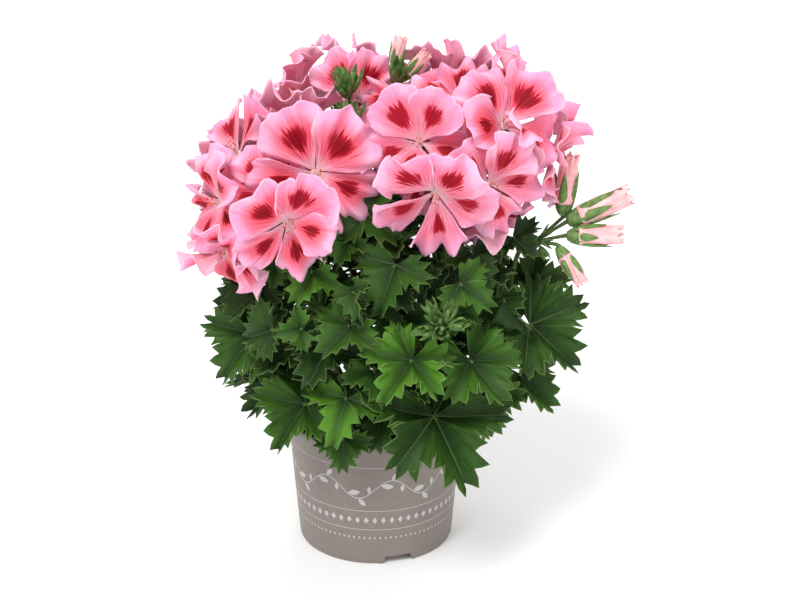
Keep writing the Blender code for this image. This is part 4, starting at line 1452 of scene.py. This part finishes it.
def growShoot(name, shoot, materials):
    look = leafLook
    stems, blades = newShape(), newShape()
    path = smoothPath(shoot["path"], 4)
    low, high = stemRadius["low"], stemRadius["high"]
    growTube(stems, path, lambda y: low + (high - low) * y, 12, 0, 0.2, shoot["aim"], shoot["tipAim"])
    for part in shoot["parts"]:
        draw = random.Random(f"tone {part['number']}")
        leaf, frame = part["leaf"], part["frame"]
        leaf["tone"] = leafTones.get(part["number"], draw.uniform(0.0, 0.45))
        growTube(stems, smoothPath(part["path"], 5), lambda y: petioleRadius * (1 - 0.15 * y), 8, 0, 0.4)

        def place(x, y, leaf=leaf, frame=frame):
            point, lateral = fineLeaf(y, x * leaf["spread"], leaf)
            return frame @ point, Vector((lateral, y, leaf["tone"]))

        lobes = round(2 * leaf["spread"] / leaf["lobeAngle"])
        columns, rows = look["grid"] if leaf["length"] > fillers["longest"] else look["smallGrid"]
        mergeBorder(blades, growGrid(blades, lobes * look["teeth"] * columns, rows, place, 0))
    finishPiece("shoot_" + name + "_stems", stems, materials["stalk"], ["shoot_" + name])
    finishPiece("shoot_" + name + "_leaves", blades, materials["leaf"], [], look["thickness"])


# The small leaves: how many are tried, how often each, their heights and lengths, and the radius that the
# foliage reaches at some heights.
fillers = {
    "count": 640,
    "tries": 14,
    "spiral": 137.5,
    "heights": (0.098, 0.252),
    "shortest": 0.014,
    "longest": 0.036,
    "bands": ((0.098, 0.056), (0.13, 0.086), (0.17, 0.094), (0.21, 0.086), (0.24, 0.066), (0.26, 0.045)),
    "clear": 0.0008,
    "firstNumber": 100,
}


def widestAt(height):
    # how far from the middle the foliage reaches at a height
    for (z, r), (nextZ, nextR) in zip(fillers["bands"], fillers["bands"][1:]):
        if height <= nextZ:
            return r + (nextR - r) * max(height - z, 0) / (nextZ - z)
    return fillers["bands"][-1][1]


def planFillers(paths):
    # small young leaves wherever the planned plant leaves room
    draw = random.Random("fillers")
    placed = 0
    for number in range(fillers["count"]):
        azimuth = number * fillers["spiral"]
        height = draw.uniform(*fillers["heights"])
        for attempt in range(fillers["tries"]):
            radius = widestAt(height) * math.sqrt(draw.uniform(0.06, 1))
            place = facing(azimuth + draw.uniform(-30, 30), 0) * radius
            place.z = height + draw.uniform(-0.008, 0.008)
            way = facing(azimuth + draw.uniform(-60, 60), draw.uniform(-45, 40))
            look = facing(azimuth + draw.uniform(-50, 50), draw.uniform(5, 75))
            leaf = leafForm(draw.uniform(fillers["shortest"], fillers["longest"]), 3, draw)
            leaf["fold"] = draw.uniform(0.1, 0.6)
            frame = frameOf(place, way, look)
            if not isClear(*leafShell(leaf, frame, fillers["clear"])):
                continue
            stalk = planPetiole(frame, leaf, paths)
            if stalk:
                standLeaf(fillers["firstNumber"] + number, leaf, frame, *stalk, paths)
                placed += 1
                break
    print("small leaves:", placed)


# The extra blooms of each head: how many, how far from its node, and the length of their petals.
crowd = {
    "heads": {"left": (5, 0.034), "right": (7, 0.040), "back": (4, 0.034)},
    "lengths": (0.029, 0.034),
    "fewestPetals": 3,
}


def planCrowd(headPlan):
    # extra blooms deep in each head, kept where enough of their petals find room
    placed = 0
    for name, (count, away) in crowd["heads"].items():
        node = inMetres(heads[name]["node"])
        draw = random.Random("crowd " + name)
        for number in range(count * 3):
            out = facing(draw.uniform(-180, 180), draw.uniform(-5, 75))
            place = node + Vector((0, 0, 0.018)) + out * away * draw.uniform(0.75, 1.1)
            frame = frameOf(place, Vector((0, 0, 1)) - out * out.z, out)
            length = draw.uniform(*crowd["lengths"])
            if not isClear(*receptacleShell(frame)):
                continue
            before = len(standing)
            bloom = newBloom(f"crowd_{name}_{number + 1}", frame, length)
            planPetals(bloom)
            if len(bloom["petals"]) < crowd["fewestPetals"]:
                del standing[before:]
                continue
            headPlan[name]["stalks"].append(pedicelPath(node, frame, out))
            headPlan[name]["blooms"].append(bloom)
            placed += 1
            count -= 1
            if not count:
                break
    print("extra blooms:", placed)


# The pot, its printed vine, and the soil.

potLook = {
    "steps": 128,
    "footBevel": 0.0014,
    "edge": 0.0004,
    "corner": 0.0006,
    "pocketWall": 0.0015,
    "print": 0.00006,
    "ink": 0.00005,
    "line": 0.00045,
    "lines": (0.0745, 0.0415, 0.0270),
    "vine": 0.0580,
    "swing": 0.0068,
    "waves": 8,
    "stem": 0.0008,
    "leaf": 0.0085,
    "leafShares": (1.0, 0.8, 0.65),
    "leafLean": 50,
    "diamonds": ((0.0342, 0.0018, 60), (0.0205, 0.0008, 96)),
}


def wallRadius(z):
    # the outside of the pot's wall at a height
    return pot["footRadius"] + (pot["rimRadius"] - pot["lipStep"] - pot["footRadius"]) * z / pot["height"]


def turned(profile, steps):
    # a profile of radius and height, spun round the upright axis
    shape = newShape()
    corners = [shape.verts.new((r, 0, z)) for r, z in profile]
    edges = [shape.edges.new(pair) for pair in zip(corners, corners[1:])]
    bmesh.ops.spin(shape, geom=corners + edges, cent=(0, 0, 0), axis=(0, 0, 1), angle=circleTurn,
                   steps=steps, use_merge=True)
    bmesh.ops.remove_doubles(shape, verts=shape.verts, dist=0.000001)
    bmesh.ops.recalc_face_normals(shape, faces=shape.faces)
    return shape


def wedge(azimuth, width, topWidth, low, high, near, far):
    # a tapered block that points outwards along an azimuth
    made = bmesh.new()
    frame = frameOf(Vector((0, 0, 0)), facing(azimuth, 0), Vector((0, 0, 1)))
    for vert in bmesh.ops.create_cube(made, size=2)["verts"]:
        wide = (width if vert.co.z < 0 else topWidth) / 2
        x, y, z = vert.co.x * wide, far if vert.co.y > 0 else near, high if vert.co.z > 0 else low
        vert.co = frame @ Vector((x, y, z))
    mesh = bpy.data.meshes.new("wedge")
    made.to_mesh(mesh)
    made.free()
    tool = bpy.data.objects.new("wedge", mesh)
    bpy.context.scene.collection.objects.link(tool)
    return tool


def cutWith(piece, tools, operation):
    for tool in tools:
        change = piece.modifiers.new("cut", "BOOLEAN")
        change.operation, change.object, change.solver = operation, tool, "EXACT"
    bpy.context.view_layer.update()
    mesh = bpy.data.meshes.new_from_object(piece.evaluated_get(bpy.context.evaluated_depsgraph_get()))
    piece.modifiers.clear()
    piece.data = mesh
    for tool in tools:
        bpy.data.objects.remove(tool)


def makePot(materials):
    wall, height, rim, floor = pot["wall"], pot["height"], pot["rimRadius"], pot["floor"]
    lip = height - pot["lipDepth"]
    edge, corner, bevel = potLook["edge"], potLook["corner"], potLook["footBevel"]
    outside = ((0.0, 0.0), (pot["footRadius"] - bevel, 0.0), (pot["footRadius"] - edge, edge),
               (wallRadius(0.0016), 0.0016), (wallRadius(lip * 0.5), lip * 0.5), (wallRadius(lip), lip))
    lipProfile = ((rim - 0.0001, lip + 0.0005), (rim, lip + 0.001), (rim, height - corner),
                  (rim - edge, height), (rim - wall, height), (rim - wall - 0.0005, height - corner))
    inside = ((wallRadius(floor) - wall, floor), (0.0, floor))
    shape = turned(outside + lipProfile + inside, potLook["steps"])
    piece = finishPiece("pot_body", shape, materials["pot"], ["pot"])
    reach, high, deep = wallRadius(0), pot["notchHeight"], pot["notchDepth"]
    pockets, cutters, more = [], [], 2 * potLook["pocketWall"]
    for turn in pot["notchDegrees"]:
        wide, narrow, inner = pot["notchWidth"], pot["notchTopWidth"], reach - deep
        pockets.append(wedge(turn, wide + more, narrow + more, edge, high + wall, inner - wall, reach - 0.0012))
        cutters.append(wedge(turn, wide, narrow, -0.002, high, inner, reach + 0.004))
    cutWith(piece, pockets, "UNION")
    cutWith(piece, cutters, "DIFFERENCE")
    piece.data.set_sharp_from_angle(angle=math.radians(35))


def onWall(azimuth, z, lift):
    turn = math.radians(azimuth)
    radius = wallRadius(z) + lift
    return Vector((radius * math.sin(turn), -radius * math.cos(turn), z))


def makePrint(materials):
    # thin rules round the pot, a running vine between them, and two rows of small diamonds
    shape = newShape()
    look = potLook

    def stamp(azimuth, z, u, v, lean=0.0):
        # a point of the print, u along and v across a stroke that leans from the horizontal
        right = u * math.cos(lean) - v * math.sin(lean)
        z += u * math.sin(lean) + v * math.cos(lean)
        return onWall(azimuth + math.degrees(right / wallRadius(z)), z, look["print"])

    def vine(turn):
        return look["vine"] + look["swing"] * math.sin(math.radians(turn * look["waves"]))

    def press(across, along, place):
        mergeBorder(shape, growGrid(shape, across, along, lambda x, y: (place(x, y), Vector((x, y, 0))), 0))

    for height in look["lines"]:
        press(180, 1, lambda x, y: onWall(180 * x, height + look["line"] * (y - 0.5), look["print"]))
    press(540, 1, lambda x, y: onWall(180 * x, vine(180 * x) + look["stem"] * (y - 0.5), look["print"]))
    count = look["waves"] * 6
    for k in range(count):
        turn = (k + 0.5) * 360 / count
        slope = math.atan2(vine(turn + 1) - vine(turn - 1), math.radians(2) * wallRadius(look["vine"]))
        lean = slope + math.radians(look["leafLean"]) * (1 if k % 2 else -1)
        long = look["leaf"] * look["leafShares"][k % 3]

        def blade(x, y):
            wide = long * 0.25 * math.sin(math.pi * min(y * 1.02, 1)) ** 0.8
            return stamp(turn, vine(turn), y * long + 0.0006, x * wide, lean)

        press(4, 8, blade)

    def diamond(x, y):
        upward = 2 * y - 1
        return stamp(turn, height, x * size * (1 - abs(upward)), upward * size * 1.4)

    for height, size, pitch in look["diamonds"]:
        for turn in (k * 360 / pitch for k in range(pitch)):
            press(2, 4, diamond)
    bmesh.ops.recalc_face_normals(shape, faces=shape.faces)
    finishPiece("pot_print", shape, materials["ink"], [], look["ink"])


soilLook = {
    "rings": 26,
    "turns": 96,
    "lumps": (130, 0.0013),
    "grit": (420, 0.0009),
    "crumbs": 170,
    "crumbSizes": (0.0006, 0.0021),
    "knobScale": 900,
}


def makeSoil(materials):
    look = soilLook
    top = soil["top"]
    rim = wallRadius(top) - pot["wall"] - soil["gap"]
    hole = crown["footRadius"] + 0.0005
    rings = [hole + (rim - hole) * k / look["rings"] for k in range(look["rings"] + 1)]
    low = pot["floor"] + soil["gap"]
    foot = crown["foot"] - soil["holeGap"]
    profile = [(0.0, foot), (hole, foot)] + [(r, top) for r in rings]
    profile += [(rim, top - 0.004), (wallRadius(low) - pot["wall"] - soil["gap"] - 0.009, low), (0.0, low)]
    shape = turned(profile, look["turns"])
    (lumpScale, lump), (gritScale, grit) = look["lumps"], look["grit"]
    for vert in shape.verts:
        radius = vert.co.xy.length
        if vert.co.z > top - 0.001 and radius > hole + 0.0005:
            rough = noise.noise(vert.co * lumpScale) * lump + noise.noise(vert.co * gritScale) * grit
            vert.co.z += rough + 0.0006 - 0.0012 * max((radius - rim + 0.006) / 0.006, 0)
    draw = random.Random("crumbs")
    for k in range(look["crumbs"]):
        turn, radius = draw.uniform(0, 6.28), (0.012 + (rim - 0.015) * math.sqrt(draw.random())) * 0.97
        size = draw.uniform(*look["crumbSizes"])
        tip = bmesh.ops.create_icosphere(shape, subdivisions=1, radius=size)["verts"]
        spin = Matrix.Rotation(draw.uniform(0, 6), 3, (draw.random(), draw.random(), 0.3))
        squash = Matrix.Diagonal((draw.uniform(0.6, 1.4), draw.uniform(0.5, 1.0), draw.uniform(0.4, 0.8)))
        for vert in tip:
            vert.co = spin @ (squash @ vert.co) + around(radius, turn, top + 0.0012 + size * 0.2)
            knobs = [noise.noise(vert.co * look["knobScale"] + Vector((shift, 0, 0))) for shift in (0, 40, 80)]
            vert.co += Vector(knobs) * size * 0.3
    finishPiece("soil_bed", shape, materials["soil"], ["soil"])


def makeCrown(materials):
    shape = newShape()
    foot, fork = Vector((0, 0, crown["foot"])), Vector((0, 0, crown["fork"]))
    trunk = smoothPath([foot, foot.lerp(fork, 0.7), fork, fork + Vector((0, 0, 0.003))], 5)
    growTube(shape, trunk, lambda y: crown["footRadius"] - 0.0022 * y**4, 20, 0, 0)
    for shoot in shoots.values():
        aim = facing(*shoot["aim"])
        path = smoothPath([fork, fork + aim * crown["stub"] * 0.5, fork + aim * crown["stub"]], 4)
        growTube(shape, path, lambda y: stemRadius["low"] + 0.0003 * (1 - y), 14, 0, 0, aim, aim)
    finishPiece("crown_wood", shape, materials["wood"], ["crown"])


# The studio: a pale floor, soft lights and the photograph's camera.

studio = {
    "lens": 90,
    "pitch": 22.55,
    "away": 1.3188,
    "target": (0.0166, 0.0, 0.1693),
    "floor": (0.95, 0.95, 0.95),
    "sky": 0.56,
    "suns": {"key": (-28, 52, 2.2, 25), "fill": (45, 35, 0.5, 60), "top": (165, 58, 1.2, 50)},
}


def addSun(name, azimuth, elevation, strength, softness):
    lamp = bpy.data.lights.new(name, "SUN")
    lamp.energy, lamp.angle = strength, math.radians(softness)
    made = bpy.data.objects.new(name, lamp)
    made.rotation_euler = facing(azimuth, elevation).to_track_quat("Z", "Y").to_euler()
    bpy.context.scene.collection.objects.link(made)


def makeStudio():
    scene = bpy.context.scene
    shape = bmesh.new()
    bmesh.ops.create_grid(shape, x_segments=1, y_segments=1, size=4)
    mesh = bpy.data.meshes.new("floor")
    shape.to_mesh(mesh)
    shape.free()
    floor = bpy.data.objects.new("floor", mesh)
    scene.collection.objects.link(floor)
    mesh.materials.append(plainMaterial("floor_paint", studio["floor"], studio["floor"], 0.8, 30, 0.02))
    world = bpy.data.worlds.new("studio")
    world.use_nodes = True
    sky = world.node_tree.nodes["Background"]
    sky.inputs[0].default_value = (1, 1, 1, 1)
    sky.inputs[1].default_value = studio["sky"]
    scene.world = world
    scene.view_settings.view_transform = "Standard"
    for name, sun in studio["suns"].items():
        addSun(name, *sun)
    lens = bpy.data.cameras.new("camera")
    lens.lens, lens.sensor_width = studio["lens"], 36
    camera = bpy.data.objects.new("camera", lens)
    pitch = math.radians(studio["pitch"])
    target = Vector(studio["target"])
    camera.location = target + Vector((0, -math.cos(pitch), math.sin(pitch))) * studio["away"]
    camera.rotation_euler = (math.pi / 2 - pitch, 0, 0)
    scene.collection.objects.link(camera)
    scene.camera = camera


def makePlant():
    print("planning the plant")
    paths, headPlan, sprayPlan = planPlant()
    planCrowd(headPlan)
    planFillers(paths)
    materials = makeMaterials()
    print("pot, print, soil and crown")
    for make in (makePot, makePrint, makeSoil, makeCrown):
        make(materials)
    print("leafy shoots")
    for name, shoot in paths.items():
        growShoot(name, shoot, materials)
    print("flower heads")
    for name, head in headPlan.items():
        growTruss(name, head, materials)
        for bloom in head["blooms"]:
            growBloom(bloom, materials, [bloom["name"]] if bloom["name"].startswith("bloom") else [])
            growHeart(bloom, materials)
    print("buds")
    for name, spray in sprayPlan.items():
        growSpray(name, spray, materials)
        for bud in spray["pinks"]:
            growPinkBud(bud, materials)


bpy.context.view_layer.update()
makePlant()
makeStudio()
